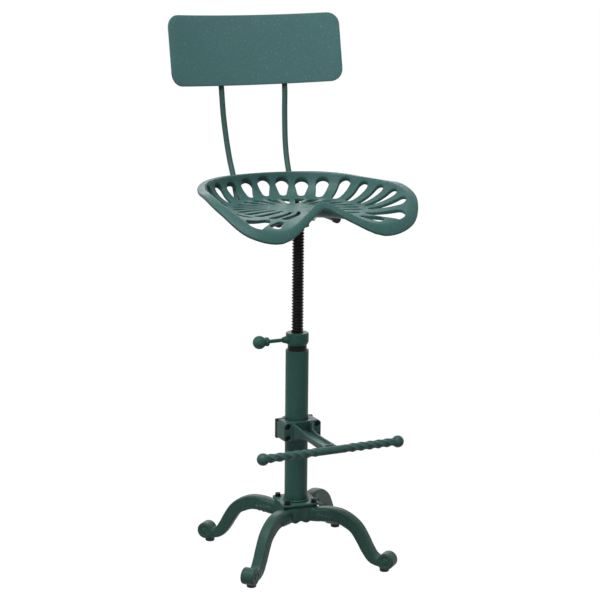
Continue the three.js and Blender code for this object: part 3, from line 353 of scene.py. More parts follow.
def slot_outline(spine, start_width, end_width):
    """A long round-ended outline laid on the pan: up one side, round the end and back. It is drawn
    flat, bent along the spine, and each of its points then slides across the pan to lie on it."""
    middle = pan_top(spine[:, 0], spine[:, 1])
    reach = np.r_[0, np.cumsum(np.linalg.norm(np.diff(middle, axis=0), axis=1))]
    total = reach[-1]
    arc = np.linspace(tau / 8, tau / 4, 7)
    head = np.stack([start_width * (1 - np.cos(arc)), start_width * np.sin(arc)], -1)
    tail = np.stack([total - end_width * (1 - np.cos(arc)), end_width * np.sin(arc)], -1)[::-1]
    side = evenly(np.concatenate([head, tail]), SIDE_STEPS)
    turn = np.linspace(tau / 8, -tau / 8, END_STEPS + 1)
    tip = np.stack([total - end_width * (1 - np.cos(turn)), end_width * np.sin(turn)], -1)
    foot = np.stack([start_width * (1 - np.cos(turn)), start_width * np.sin(turn)], -1)
    flip = np.array([1, -1])
    loop = np.concatenate([side[:-1], tip[:-1], (side * flip)[::-1][:-1], foot[::-1][:-1]])
    along = np.gradient(middle, reach, axis=0)
    square = pan_normal(spine[:, 0], spine[:, 1])
    beside = np.cross(square, along)
    beside /= np.linalg.norm(beside, axis=1, keepdims=True)

    def take(table):
        """A table along the spine, read at the loop's distances."""
        return np.stack([np.interp(loop[:, 0], reach, table[:, k]) for k in range(3)], -1)

    goal = take(middle) + take(beside) * loop[:, 1:]
    turns = np.degrees(np.arctan2(goal[:, 0], goal[:, 1] - SLOT_CENTRE_BACK))
    turns = spine[0, 0] + (turns - spine[0, 0] + 540) % 360 - 180
    rows = np.interp(loop[:, 0], reach, spine[:, 1])
    for _ in range(10):
        here = pan_top(turns, rows)
        slope = (pan_top(turns, rows + 0.01) - pan_top(turns, rows - 0.01)) / 0.02
        rows = rows + np.sum((goal - here) * slope, -1) / np.sum(slope * slope, -1)
        rows = np.clip(rows, 0.05, 2.6)
    return np.stack([turns, rows], -1)


def slot_cell(outline, border):
    """The pan round one slot, from its border in over a rounded edge, down the wall and back out
    below. The wall leans as a casting's does when the pattern is drawn straight up."""
    gap = np.linalg.norm(pan_top(*border.T) - pan_top(*outline.T), axis=-1)
    round_edge = np.minimum(EDGE_ROUND, gap * 0.45)
    steps = np.array([1, 0.7, 0.42, 0.18])[:, None]
    flat_shares = round_edge / gap + (1 - round_edge / gap) * steps
    bend = np.radians([0, 30, 60, 90])[:, None]
    edge_shares = round_edge * (1 - np.sin(bend)) / gap
    shares = np.concatenate([flat_shares, edge_shares, edge_shares[::-1], flat_shares[::-1]])
    drop = np.concatenate([np.zeros_like(flat_shares), round_edge * (1 - np.cos(bend))])
    spots = outline[None] + (border - outline)[None] * shares[..., None]
    wall = pan_wall(spots[..., 0], spots[..., 1])
    depth = np.concatenate([drop, wall[len(drop):] - drop[::-1]])
    top = pan_top(spots[..., 0], spots[..., 1])
    square = pan_normal(spots[..., 0], spots[..., 1])
    lean = square * (1 - SLOT_DRAW) + np.array([0, 0, SLOT_DRAW])
    lean /= np.linalg.norm(lean, axis=-1, keepdims=True)
    grid = top - lean * (depth / np.sum(lean * square, -1))[..., None]
    half = len(shares) // 2
    settled = smooth((shares[half:] - shares[half]) / (1 - shares[half]))[..., None]
    below = pan_under(spots[half:, :, 0], spots[half:, :, 1])
    grid[half:] = grid[half:] * (1 - settled) + below * settled
    return grid


def grid_faces(rows, columns, closed=True):
    """Quads between neighbouring rows and columns. A closed grid's last column joins its first."""
    row = np.arange(rows - 1)[:, None] * columns
    column = np.arange(columns if closed else columns - 1)[None]
    beside = (column + 1) % columns
    return np.stack([row + column, row + beside, row + columns + beside, row + columns + column],
                    -1).reshape(-1, 4)


def in_metres(points):
    """Millimetres about the column's axis, turned into metres where the CAD model stands."""
    return np.asarray(points, float).reshape(-1, 3) / 1000 + COLUMN


def shell_mesh(name, grids):
    """One mesh of (grid, closed) surfaces, welded where they meet and turned outwards."""
    points, faces, first = [], [], 0
    for grid, closed in grids:
        points.append(in_metres(grid))
        faces.append(grid_faces(grid.shape[0], grid.shape[1], closed) + first)
        first += len(points[-1])
    mesh = bpy.data.meshes.new(name)
    mesh.from_pydata(np.concatenate(points).tolist(), [], np.concatenate(faces).tolist())
    weld = bmesh.new()
    weld.from_mesh(mesh)
    bmesh.ops.remove_doubles(weld, verts=weld.verts, dist=0.00001)
    bmesh.ops.recalc_face_normals(weld, faces=weld.faces)
    weld.to_mesh(mesh)
    weld.free()
    return mesh


def finish_piece(name, mesh, material, body, replaced=(), sharp=38):
    """Shades a mesh, gives it its material, and hangs it on its body."""
    mesh.polygons.foreach_set("use_smooth", np.ones(len(mesh.polygons), bool))
    mesh.set_sharp_from_angle(angle=radians(sharp))
    mesh.materials.append(material)
    piece = bpy.data.objects.new(name, mesh)
    bpy.context.collection.objects.link(piece)
    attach(piece, body)
    if replaced:
        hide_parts(*replaced)
    return piece


def make_piece(name, grids, material, body, replaced=(), sharp=38):
    """One finished object of one or more (grid, closed) surfaces."""
    return finish_piece(name, shell_mesh(name, grids), material, body, replaced, sharp)


# Slots are counted from the left front, round the back, to the right front.
last_slot = len(OUTER_START_TURNS) - 1
numbers = np.arange(-last_slot, last_slot + 1)
signs = np.where(numbers < 0, -1, 1)


def every_slot(table):
    """A table of slots 0 to 10, read for all the slots from the left front to the right front."""
    return np.asarray(table, float)[np.abs(numbers)]


tips = np.radians(every_slot(DISC_TURNS))
tip_x = DISC_RADIUS * HALF_WIDTH * np.sin(tips) * signs
tip_y = (DISC_RADIUS * np.cos(tips) + DISC_BACK) * HALF_WIDTH
inner_spines, outer_spines = [], []
for k, sign in enumerate(signs):
    inner_start = (np.degrees(np.arctan2(tip_x[k], tip_y[k])), np.hypot(tip_x[k], tip_y[k]))
    bend_turn = sign * every_slot(OUTER_START_TURNS)[k]
    inner_end = (bend_turn, every_slot(INNER_END_RADII)[k] * HALF_WIDTH)
    outer_start = (bend_turn, every_slot(OUTER_START_RADII)[k] * HALF_WIDTH)
    outer_end = (sign * every_slot(OUTER_END_TURNS)[k], every_slot(OUTER_END_RADII)[k] * HALF_WIDTH)
    inner_spines.append(slot_spine(inner_start, inner_end))
    outer_spines.append(slot_spine(outer_start, outer_end))
inner_spines, outer_spines = np.array(inner_spines), np.array(outer_spines)


def rib_lines(spines, feet, heads):
    """Lines midway between slots, and one outside each end slot, from feet to heads."""
    every_fourth = spines[:, 4:-4:4]
    picked = (every_fourth[:-1] + every_fourth[1:]) / 2
    lines = np.concatenate([feet[1:-1, None], picked, heads[1:-1, None]], 1)
    side = every_fourth[-1].copy()
    radius = np.hypot(*(pan_top(*side.T)[:, :2] - [0, SLOT_CENTRE_BACK]).T)
    side[:, 0] += np.degrees(FRONT_RIB / radius)
    last = np.concatenate([feet[-1:], side, heads[-1:]])
    first = last * [-1, 1]
    return np.concatenate([first[None], lines, last[None]])


middle_rows = (inner_spines[:, -1, 1] + outer_spines[:, 0, 1]) / 2
head_rows = np.maximum(2, outer_spines[:, -1, 1] + BAND_MARGIN)


def rib_ends(turns, rows, front_turn):
    """Where the ribs start or end: midway between neighbouring slots, and at both front turns."""
    between = np.stack([(turns[:-1] + turns[1:]) / 2, (rows[:-1] + rows[1:]) / 2], -1)
    front = np.array([[front_turn, rows[-1]]])
    return np.concatenate([front * [-1, 1], between, front])


def lines_evenly(lines):
    """Each line of (turn, row) in even steps, with a row counted as long as 60 degrees."""
    return np.array([evenly(line * [1, 60], SIDE_STEPS) / [1, 60] for line in lines])


disc_feet = rib_ends(inner_spines[:, 0, 0], inner_spines[:, 0, 1] - DISC_MARGIN, FRONT_DISC_TURN)
ring_heads = rib_ends(inner_spines[:, -1, 0], middle_rows,
                      inner_spines[-1, -1, 0] + FRONT_RING_STEP)
crest_heads = rib_ends(outer_spines[:, -1, 0], head_rows,
                       outer_spines[-1, -1, 0] + FRONT_CREST_STEP)
inner_lines = lines_evenly(rib_lines(inner_spines, disc_feet, ring_heads))
outer_lines = lines_evenly(rib_lines(outer_spines, ring_heads, crest_heads))


def straight(a, b, steps):
    """Even steps on the straight line from one point to another."""
    share = np.linspace(0, 1, steps + 1)[:, None]
    return a * (1 - share) + b * share


def cells(spines, lines, start_widths, end_widths):
    """Every slot's cell of one ring: the border runs up one rib line, across its end, down the
    next one and back across."""
    made = []
    for k in range(len(numbers)):
        near, far = lines[k], lines[k + 1]
        border = np.concatenate([
            near[:-1], straight(near[-1], far[-1], END_STEPS)[:-1],
            far[::-1][:-1], straight(far[0], near[0], END_STEPS)[:-1]])
        outline = slot_outline(spines[k], start_widths[k] * HALF_WIDTH, end_widths[k] * HALF_WIDTH)
        made.append((slot_cell(outline, border), True))
    return made


pan_grids = cells(inner_spines, inner_lines, np.full(len(numbers), DISC_WIDTH),
                  every_slot(INNER_END_WIDTHS))
pan_grids += cells(outer_spines, outer_lines, every_slot(OUTER_START_WIDTHS),
                   every_slot(OUTER_END_WIDTHS))
for lines in (inner_lines, outer_lines):
    share = np.linspace(0, 1, FRONT_STEPS + 1)[None, :, None]
    end = lines[-1][:, None] * [-1, 1] + [360, 0]
    patch = lines[-1][:, None] * (1 - share) + end * share
    pan_grids += [(pan_top(patch[..., 0], patch[..., 1]), False),
                  (pan_under(patch[..., 0], patch[..., 1]), False)]


def ring_of(lines, at):
    """The closed line through one end of every rib line and across the front."""
    parts = [straight(lines[k][at], lines[k + 1][at], END_STEPS)[:-1] for k in range(len(numbers))]
    front = straight(lines[-1][at], lines[0][at] + [360, 0], FRONT_STEPS)[:-1]
    return np.concatenate(parts + [front])


disc_edge = ring_of(inner_lines, 0)
shares = np.linspace(0, 1, 7)[:, None]
pan_grids += [(surface(disc_edge[:, 0], disc_edge[:, 1] * shares), True)
              for surface in (pan_top, pan_under)]
rim_turns, first_rows = ring_of(outer_lines, -1).T
band = around(CREST_INSETS, rim_turns) * HALF_WIDTH
last_row = 3 - np.minimum(0.5, RIM_WALL / 2 / band)
share = np.linspace(0, 1, 10)[:, None]
rows = first_rows + (last_row - first_rows) * (smooth(share) + share) / 2
over, below = pan_top(rim_turns, rows), pan_under(rim_turns, rows)
middle = (over[-1] + below[-1]) / 2
full = np.full_like(rim_turns, 3.0)
reach = (pan_top(rim_turns, full) + pan_under(rim_turns, full)) / 2 - middle
bend = np.linspace(0, tau / 2, 11)[1:-1, None, None]
lift = np.sign(np.cos(bend)) * np.abs(np.cos(bend)) ** RIM_SQUARE
push = np.sin(bend) ** RIM_SQUARE
nose = middle + (over[-1] - middle) * lift + reach * push
pan_grids.append((np.concatenate([over, nose, below[::-1]]), True))


def fresh_group(name, inputs, outputs):
    """An empty shader group with named number sockets."""
    group = bpy.data.node_groups.new(name, "ShaderNodeTree")
    for way, sockets in (("INPUT", inputs), ("OUTPUT", outputs)):
        for socket in sockets:
            group.interface.new_socket(socket, in_out=way, socket_type="NodeSocketFloat")
    return group


def noise(tree, place, scale, detail):
    """A cloudy noise over the object's own coordinates."""
    return node(tree, "ShaderNodeTexNoise", {"Vector": place, "Scale": scale,
                                             "Detail": detail}).outputs[0]


def flecked_coat():
    """Pale flecks in a powder coat: a few big ones and many small ones, a slow drift of tone and
    the fine pebbled skin that the coat leaves."""
    group = fresh_group("flecked_coat", ("Fleck Amount", "Drift", "Lumps"),
                        ("Flecks", "Tone", "Height"))
    given = node(group, "NodeGroupInput").outputs
    place = node(group, "ShaderNodeTexCoord").outputs["Object"]

    def flecks(scale, size, share):
        """Round spots in a share of a Voronoi pattern's cells, each with its own brightness."""
        cells_of = node(group, "ShaderNodeTexVoronoi", {"Vector": place, "Scale": scale}).outputs
        spot = remapped(group, cells_of["Distance"], size, size * 1.5, 1.0, 0.0)
        pick = node(group, "ShaderNodeSeparateColor", {0: cells_of["Color"]}).outputs
        chosen = reckoned(group, "GREATER_THAN", pick[0], 1 - share)
        return reckoned(group, "MULTIPLY", spot, reckoned(group, "MULTIPLY", pick[1], chosen))

    both = reckoned(group, "MAXIMUM", flecks(150, 0.09, 0.5), flecks(420, 0.16, 0.4))
    amount = reckoned(group, "MULTIPLY", both, given["Fleck Amount"], use_clamp=True)
    sway = reckoned(group, "ADD", noise(group, place, 13.0, 4.0), -0.5)
    grit = reckoned(group, "ADD", noise(group, place, 260.0, 2.0), -0.5)
    tone = reckoned(group, "MULTIPLY_ADD", reckoned(group, "ADD", sway, grit), given["Drift"], 1.0)
    height = reckoned(group, "MULTIPLY_ADD", noise(group, place, 95.0, 3.0), given["Lumps"],
                      noise(group, place, 520.0, 3.0))
    node(group, "NodeGroupOutput", {"Flecks": amount, "Tone": tone, "Height": height})
    return group


def painted_hollow_shade():
    """Painted shade: a tone that falls where few short rays get away from the surface, in slots and
    corners.
    """
    group = fresh_group("painted_hollow_shade", ("Reach", "Deepest Tone"), ("Shade",))
    given = node(group, "NodeGroupInput").outputs
    rays = node(group, "ShaderNodeAmbientOcclusion", {"Distance": given["Reach"]}, samples=8)
    shade = remapped(group, rays.outputs["AO"], 0.25, 0.85, given["Deepest Tone"], 1.0)
    node(group, "NodeGroupOutput", {"Shade": shade})
    return group


def rubbed_edges():
    """A mask of edges and crests: none up to the least bend, the whole amount from the full one."""
    group = fresh_group("rubbed_edges", ("Least Bend", "Full Bend", "Amount"), ("Edges",))
    given = node(group, "NodeGroupInput").outputs
    bend = node(group, "ShaderNodeNewGeometry").outputs["Pointiness"]
    edges = remapped(group, bend, given["Least Bend"], given["Full Bend"], 0.0, given["Amount"])
    node(group, "NodeGroupOutput", {"Edges": edges})
    return group


FLECKED_COAT = flecked_coat()
PAINTED_HOLLOW_SHADE = painted_hollow_shade()
RUBBED_EDGES = rubbed_edges()
FLECK_TONE = (0.42, 0.53, 0.49, 1)
# Painted shade in slots and corners: how far its short rays reach, in millimetres, and its darkest
# tone.
PAINTED_SHADE_REACH = 16
PAINTED_SHADE_TONE = 0.4
RUBBED_SHARE = 0.3
SKIN_DEPTH = 0.6


def placed(tree, group, **values):
    """A shader group placed in a material, with its inputs' own values, and its outputs."""
    inputs = {name.replace("_", " ").title(): value for name, value in values.items()}
    return node(tree, "ShaderNodeGroup", inputs, node_tree=group).outputs


def blended(tree, share, first, second, **settings):
    """A colour between two, by a share of the second."""
    return node(tree, "ShaderNodeMix", {0: share, 6: first, 7: second}, data_type="RGBA",
                **settings).outputs[2]


def painted(name, tone, flecks, lumps, roughness, drift, worn=0.35):
    """Green powder coat over iron: pale flecks, a slow drift of tone, painted shade in slots and
    corners, edges a little paler where hands and boots rub, and a pebbled skin."""
    material, output = fresh_material(name)
    tree = material.node_tree
    coat = placed(tree, FLECKED_COAT, fleck_amount=flecks, drift=drift, lumps=lumps)
    # Painted shade that darkens the paint in slots and corners.
    painted_shade = placed(tree, PAINTED_HOLLOW_SHADE, reach=PAINTED_SHADE_REACH / 1000, deepest_tone=PAINTED_SHADE_TONE)
    rubbed = placed(tree, RUBBED_EDGES, least_bend=0.53, full_bend=0.6,
                    amount=worn * RUBBED_SHARE)
    drifting = blended(tree, 1.0, (*tone, 1), coat["Tone"], blend_type="MULTIPLY")
    # The painted shade is multiplied into the paint's colour here.
    shaded = node(tree, "ShaderNodeVectorMath", {0: drifting, 1: painted_shade["Shade"]},
                  operation="MULTIPLY").outputs[0]
    paler = blended(tree, rubbed["Edges"], shaded, FLECK_TONE)
    flecked = blended(tree, coat["Flecks"], paler, FLECK_TONE)
    bump = node(tree, "ShaderNodeBump", {"Height": coat["Height"], "Strength": 0.35,
                                         "Distance": SKIN_DEPTH / 1000})
    shine = remapped(tree, coat["Tone"], 0.9, 1.1, roughness - 0.05, roughness + 0.07)
    shader = node(tree, "ShaderNodeBsdfPrincipled", {
        "Base Color": flecked, "Roughness": shine, "Normal": bump.outputs[0],
        "Specular IOR Level": 0.2})
    tree.links.new(shader.outputs[0], output.inputs[0])
    return material


SEAT_PAINT = painted("seat_green", (0.033, 0.096, 0.088), flecks=0.55, lumps=0.8, roughness=0.45,
                     drift=0.14, worn=0.08)
make_piece("seat_pan_casting", pan_grids, SEAT_PAINT, "seat", ["seat_pan"])


# Backrest panel
# One sheet of 3 mm steel with round corners, rolled to a gentle curve, with four short bosses
# welded on its back for the rods' screws. Its paint is a little bluer than the seat's, and it is
# also made much lighter than the seat's: painted light for the light that falls on its face.
PANEL_WIDTH = 404
PANEL_HEIGHT = 149
PANEL_CORNER = 27
PANEL_WALL = 3
PANEL_EDGE = 1.1
PANEL_BEND = 700
PANEL_TILT = radians(11.2)
PANEL_BACK = 236.4
PANEL_MIDDLE = 1058.4
ROD_ASIDE = 74.2
BOSS_HEIGHTS = (-46, 18)
BOSS_RADIUS = 7
BOSS_REACH = 2.5


def rounded_loop(width, depth, corner, arc_steps=9, side_steps=(20, 8)):
    """A rounded rectangle: four quarter circles, joined by straight sides in even steps."""
    arc = np.linspace(0, tau / 4, arc_steps)
    corners = []
    for quarter, quadrant in enumerate(((1, 1), (-1, 1), (-1, -1), (1, -1))):
        middle = (np.array([width, depth]) / 2 - corner) * quadrant
        turn = arc + quarter * tau / 4
        corners.append(middle + corner * np.stack([np.cos(turn), np.sin(turn)], -1))
    sides = [straight(near[-1], far[0], steps)[1:-1]
             for near, far, steps in zip(corners, corners[1:] + corners[:1], side_steps * 2)]
    return np.concatenate([part for both in zip(corners, sides) for part in both])


def plate(width, depth, corner, wall, edge, rings=10, side_steps=(20, 8)):
    """A flat plate as loops: out over the top from its middle, round the eased edge, and back in
    below. The third value is the height from -wall/2 to wall/2."""
    bend = np.radians([0, 22, 45, 68, 90])
    inward = edge * (1 - np.sin(bend))
    height = wall / 2 - edge * (1 - np.cos(bend))
    edges = []
    for inset, level in zip(inward, height):
        loop = rounded_loop(width - 2 * inset, depth - 2 * inset, corner - inset,
                            side_steps=side_steps)
        edges.append(np.column_stack([loop, np.full(len(loop), level)]))
    shares = np.linspace(0, 1, rings)[:-1, None, None]
    face = edges[0][None] * np.concatenate([shares, shares, np.ones_like(shares)], -1)
    over = np.concatenate([face, np.array(edges)])
    return np.concatenate([over, (over * [1, 1, -1])[::-1]])


def eased(corners, cuts, steps=4):
    """A line through corners, each rounded by a parabola that begins and ends its cut away."""
    corners = np.array(corners, float)
    cuts = np.broadcast_to(np.asarray(cuts, float), len(corners) - 2)[:, None, None]
    middle = corners[1:-1, None]
    before, after = corners[:-2, None] - middle, corners[2:, None] - middle
    before = before / np.linalg.norm(before, axis=-1, keepdims=True)
    after = after / np.linalg.norm(after, axis=-1, keepdims=True)
    share = np.linspace(0, 1, steps + 1)[None, :, None]
    rounded = middle + cuts * (before * (1 - share) ** 2 + after * share ** 2)
    return np.concatenate([corners[:1], rounded.reshape(-1, 2), corners[-1:]])


def turned(profile, columns=48):
    """A profile of (radius, height) turned once about the upright axis."""
    turn = np.linspace(0, tau, columns, endpoint=False)
    radius, height = np.array(profile, float).T
    return np.stack([radius[:, None] * np.cos(turn), radius[:, None] * np.sin(turn),
                     np.repeat(height[:, None], columns, 1)], -1)


def stand(grid, place=(0, 0, 0), axis=(0, 0, 1), side=(1, 0, 0)):
    """Turns a grid's upright axis to another direction, keeps its X along side, and moves it."""
    axis, side = np.array(axis, float), np.array(side, float)
    third = np.cross(axis, side)
    return (grid[..., :1] * side + grid[..., 1:2] * third + grid[..., 2:] * axis
            + np.array(place, float))


def on_panel(grid):
    """From the panel's own upright frame to the stool: tilted back about X, then moved."""
    x, y, z = np.moveaxis(np.asarray(grid, float), -1, 0)
    c, s = cos(PANEL_TILT), sin(PANEL_TILT)
    return np.stack([x, y * c + z * s + PANEL_BACK, z * c - y * s + PANEL_MIDDLE], -1)


flat = plate(PANEL_WIDTH, PANEL_HEIGHT, PANEL_CORNER, PANEL_WALL, PANEL_EDGE, rings=14,
             side_steps=(30, 10))
turn = flat[..., 0] / PANEL_BEND
reach = PANEL_BEND + flat[..., 2]
rolled = np.stack([reach * np.sin(turn), reach * np.cos(turn) - PANEL_BEND, flat[..., 1]], -1)
panel_back = PANEL_WALL / 2 - (PANEL_BEND - (PANEL_BEND ** 2 - ROD_ASIDE ** 2) ** 0.5)
boss_face = panel_back + BOSS_REACH
boss = turned(eased([(0, -BOSS_REACH), (BOSS_RADIUS + 1, -BOSS_REACH), (BOSS_RADIUS, 0),
                     (BOSS_RADIUS, BOSS_REACH), (0, BOSS_REACH)], (0.3, 0.9, 0.6)), 32)
panel_spots = [(side * ROD_ASIDE, height) for side in (-1, 1) for height in BOSS_HEIGHTS]
panel_grids = [(on_panel(rolled), True)]
panel_grids += [(on_panel(stand(boss, (x, panel_back, z), (0, 1, 0))), True)
                for x, z in panel_spots]
# Painted light: this green is much lighter than the seat's to stand in for light on the panel's
# face.
PANEL_GREEN_AND_PAINTED_LIGHT = painted("panel_green_and_painted_light", (0.060, 0.146, 0.145), flecks=0.7, lumps=0.25,
                      roughness=0.47, drift=0.16, worn=0.0)
make_piece("backrest_sheet", panel_grids, PANEL_GREEN_AND_PAINTED_LIGHT, "seat", ["backrest_panel"])


# Backrest rods
# Two 12 mm bars run under the seat, bend up behind it and carry the panel. Their sawn front ends
# have black rubber caps. They are painted with the seat.
ROD_RADIUS = 6
ROD_END = 1.2
# The right rod's line, as (outward, back, up): listed places from its front end to its top.
ROD_LINE = ((66, -46, 732.7), (66, 10, 732.7), (66, 60, 732.7), (66, 102, 732.7), (66, 123, 733),
            (66, 140.5, 736.6), (66, 155, 745), (65.8, 165, 757), (65.6, 172.6, 770),
            (65.6, 185.3, 801), (66.7, 198, 827.2), (68.5, 210, 863), (72, 221.3, 922),
            (74.2, 227, 978.7), (74.2, 233, 1008.7), (74.2, 241.2, 1050.2), (74.2, 249.4, 1091.6))
CAP_LOW, CAP_HIGH = box_of("rod_end_cap_right")
CAP_RADIUS = (CAP_HIGH[0] - CAP_LOW[0]) / 2
CAP_LENGTH = CAP_HIGH[1] - CAP_LOW[1]
CAP_WALL = 2.2
CAP_PLAY = 0.15
MOULD_DEPTH = 0.4


def curve_through(points, steps):
    """A centripetal curve through points: each span is three blends of the lines between four
    neighbours, on knots that stand apart by the square root of their distance."""
    points = np.array(points, float)
    points = np.concatenate([2 * points[:1] - points[1:2], points,
                             2 * points[-1:] - points[-2:-1]])
    knots = np.r_[0, np.cumsum(np.linalg.norm(np.diff(points, axis=0), axis=1) ** 0.5)]
    p = [points[k:len(points) - 3 + k, None] for k in range(4)]
    k = [knots[i:len(knots) - 3 + i, None, None] for i in range(4)]
    t = k[1] + (k[2] - k[1]) * np.linspace(0, 1, steps, endpoint=False)[None, :, None]

    def blend(a, b, low, high):
        """The line from a at its knot to b at its own, at every t."""
        return (a * (high - t) + b * (t - low)) / (high - low)

    near, middle, far = (blend(p[i], p[i + 1], k[i], k[i + 1]) for i in range(3))
    line = blend(blend(near, middle, k[0], k[2]), blend(middle, far, k[1], k[3]), k[1], k[2])
    return np.concatenate([line.reshape(-1, 3), points[-2:-1]])


def frame_along(line, distances, side=(1, 0, 0)):
    """Places, directions, and two square directions at distances along a line."""
    reach = np.r_[0, np.cumsum(np.linalg.norm(np.diff(line, axis=0), axis=1))]
    slope = np.gradient(line, reach, axis=0)

    def pick(table):
        """A table along the line, read at the distances."""
        return np.stack([np.interp(distances, reach, table[:, i]) for i in range(3)], -1)

    ahead = pick(slope)
    ahead /= np.linalg.norm(ahead, axis=1, keepdims=True)
    beside = np.array(side, float) - ahead * (ahead @ np.array(side, float))[:, None]
    beside /= np.linalg.norm(beside, axis=1, keepdims=True)
    return pick(line), ahead, beside, np.cross(ahead, beside), reach[-1]


def round_bar(line, radius, end, stations=110, sides=24):
    """A round bar along a line, its ends flat with a quarter-round edge."""
    total = frame_along(line, np.zeros(1))[-1]
    bend = np.linspace(0, tau / 4, 5)
    start = np.r_[0, end * (1 - np.cos(bend))]
    start_radii = np.r_[0, radius - end + end * np.sin(bend)]
    body = np.linspace(end, total - end, stations)[1:-1]
    distances = np.concatenate([start, body, total - start[::-1]])
    radii = np.concatenate([start_radii, np.full(len(body), radius), start_radii[::-1]])
    place, _, beside, above, _ = frame_along(line, distances)
    turn = np.linspace(0, tau, sides, endpoint=False)[None, :, None]
    return place[:, None] + radii[:, None, None] * (np.cos(turn) * beside[:, None]
                                                    + np.sin(turn) * above[:, None])


ROD_PAINT = painted("rod_green", (0.038, 0.090, 0.080), flecks=0.35, lumps=0.1, roughness=0.46,
                    drift=0.12)
cap_inside = ROD_RADIUS + CAP_PLAY
cap_profile = eased([(0, 0), (CAP_RADIUS, 0), (CAP_RADIUS, CAP_LENGTH), (cap_inside, CAP_LENGTH),
                     (cap_inside, CAP_WALL), (0, CAP_WALL)], (2.6, 0.7, 0.4, 0.4), 5)


def rubber():
    """Black moulded rubber: matt, with a faint mould texture and a little dust in its tone."""
    material, output = fresh_material("black_rubber")
    tree = material.node_tree
    place = node(tree, "ShaderNodeTexCoord").outputs["Object"]
    dust = noise(tree, place, 60.0, 5.0)
    dusty = blended(tree, remapped(tree, dust, 0.35, 0.75), (0.006, 0.006, 0.0065, 1),
                    (0.016, 0.0165, 0.017, 1))
    bump = node(tree, "ShaderNodeBump", {"Height": noise(tree, place, 900.0, 2.0),
                                         "Strength": 0.25, "Distance": MOULD_DEPTH / 1000})
    matt = remapped(tree, dust, 0.0, 1.0, 0.62, 0.86)
    shader = node(tree, "ShaderNodeBsdfPrincipled", {"Base Color": dusty, "Roughness": matt,
                                                     "Normal": bump.outputs[0]})
    tree.links.new(shader.outputs[0], output.inputs[0])
    return material


RUBBER = rubber()
for side, word in ((-1, "left"), (1, "right")):
    line = curve_through([(side * x, y, z) for x, y, z in ROD_LINE], 12)
    make_piece(f"backrest_bar_{word}", [(round_bar(line, ROD_RADIUS, ROD_END), True)], ROD_PAINT,
               "seat", [f"backrest_rod_{word}"])
    front = (side * ROD_LINE[0][0], CAP_LOW[1], ROD_LINE[0][2])
    make_piece(f"rubber_cap_{word}", [(stand(turned(cap_profile, 36), front, (0, 1, 0)), True)],
               RUBBER, "seat", [f"rod_end_cap_{word}"])


# Screws and nuts
# Black socket-head screws hold the rods to the panel, the base plate to the hub and the clamp's
# halves together. Four countersunk ones hold the seat, with plain nuts under its carrier plate.
PANEL_SCREW = {"head": 4.75, "rise": 2.8, "shank": 2.5, "length": 18, "socket": 1.6, "depth": 1.6}
PLATE_SCREW = {"head": 5.7, "rise": 5.2, "shank": 4, "length": 24, "socket": 2.9, "depth": 3}
CLAMP_SCREW = {"head": 5, "rise": 6, "shank": 3, "length": 37.5, "socket": 2.5, "depth": 3}
SEAT_SCREW = {"head": 7.8, "rise": 0.2, "shank": 4, "length": 21, "socket": 2.5, "depth": 2}
SEAT_SCREW_TAPER = 3.6
SCREW_COLUMNS = 48
BASE_TURN = radians(-6.3)
SCREW_LIFT = 0.3
WASHER_HOLE = 4.3
WASHER_RADIUS = 7.4
CLAMP_SCREW_ASIDE = 34
CLAMP_SCREW_HEIGHTS = (272, 296)
CLAMP_SCREW_FRONT = -23.1
NUT_BORE = 4.3
NUT_CHAMFER = 0.7


def hexagon(radius, columns=SCREW_COLUMNS):
    """The radius of a hexagon at each column: its half width over the cosine of the angle from
    the middle of the nearest side."""
    turn = np.linspace(0, tau, columns, endpoint=False)
    return radius * cos(tau / 12) / np.cos(turn % (tau / 6) - tau / 12)


def socket_screw(head, rise, shank, length, socket, depth, taper=0):
    """A screw turned about its axis, with its head above zero and a six-sided socket in it. A
    taper makes the head a cone below zero."""
    edge = min(0.9, rise * 0.4)
    under = [(shank, -taper if taper else 0), (head, -0.5 if taper else 0)]
    outside = eased([(0, -length), (shank - 0.6, -length), (shank, 0.6 - length), *under,
                     (head, rise), (socket * 1.35, rise)], (0.1, 0.1, 0.15, 0.15, edge), 3)
    grid = turned(outside, SCREW_COLUMNS)
    turn = np.linspace(0, tau, SCREW_COLUMNS, endpoint=False)
    around_axis = np.stack([np.cos(turn), np.sin(turn)], -1)
    inside = [(hexagon(socket * 1.12), rise), (hexagon(socket), rise - 0.3),
              (hexagon(socket), rise - depth), (hexagon(0), rise - depth * 1.1)]
    rows = [np.column_stack([around_axis * radius[:, None], np.full(SCREW_COLUMNS, height)])
            for radius, height in inside]
    return np.concatenate([grid, np.array(rows)])


def drawn_grain():
    """Slow clouds over drawn steel, and a grain 25 times as fine, from two noises."""
    group = fresh_group("drawn_grain", ("Scale",), ("Clouds", "Grain"))
    scale = node(group, "NodeGroupInput").outputs["Scale"]
    place = node(group, "ShaderNodeTexCoord").outputs["Object"]
    clouds = noise(group, place, scale, 5.0)
    grain = noise(group, place, reckoned(group, "MULTIPLY", scale, 25.0), 2.0)
    node(group, "NodeGroupOutput", {"Clouds": clouds, "Grain": grain})
    return group


DRAWN_GRAIN = drawn_grain()
RUBBED_TONE = (0.2, 0.2, 0.2, 1)
GRAIN_DEPTH = 0.3


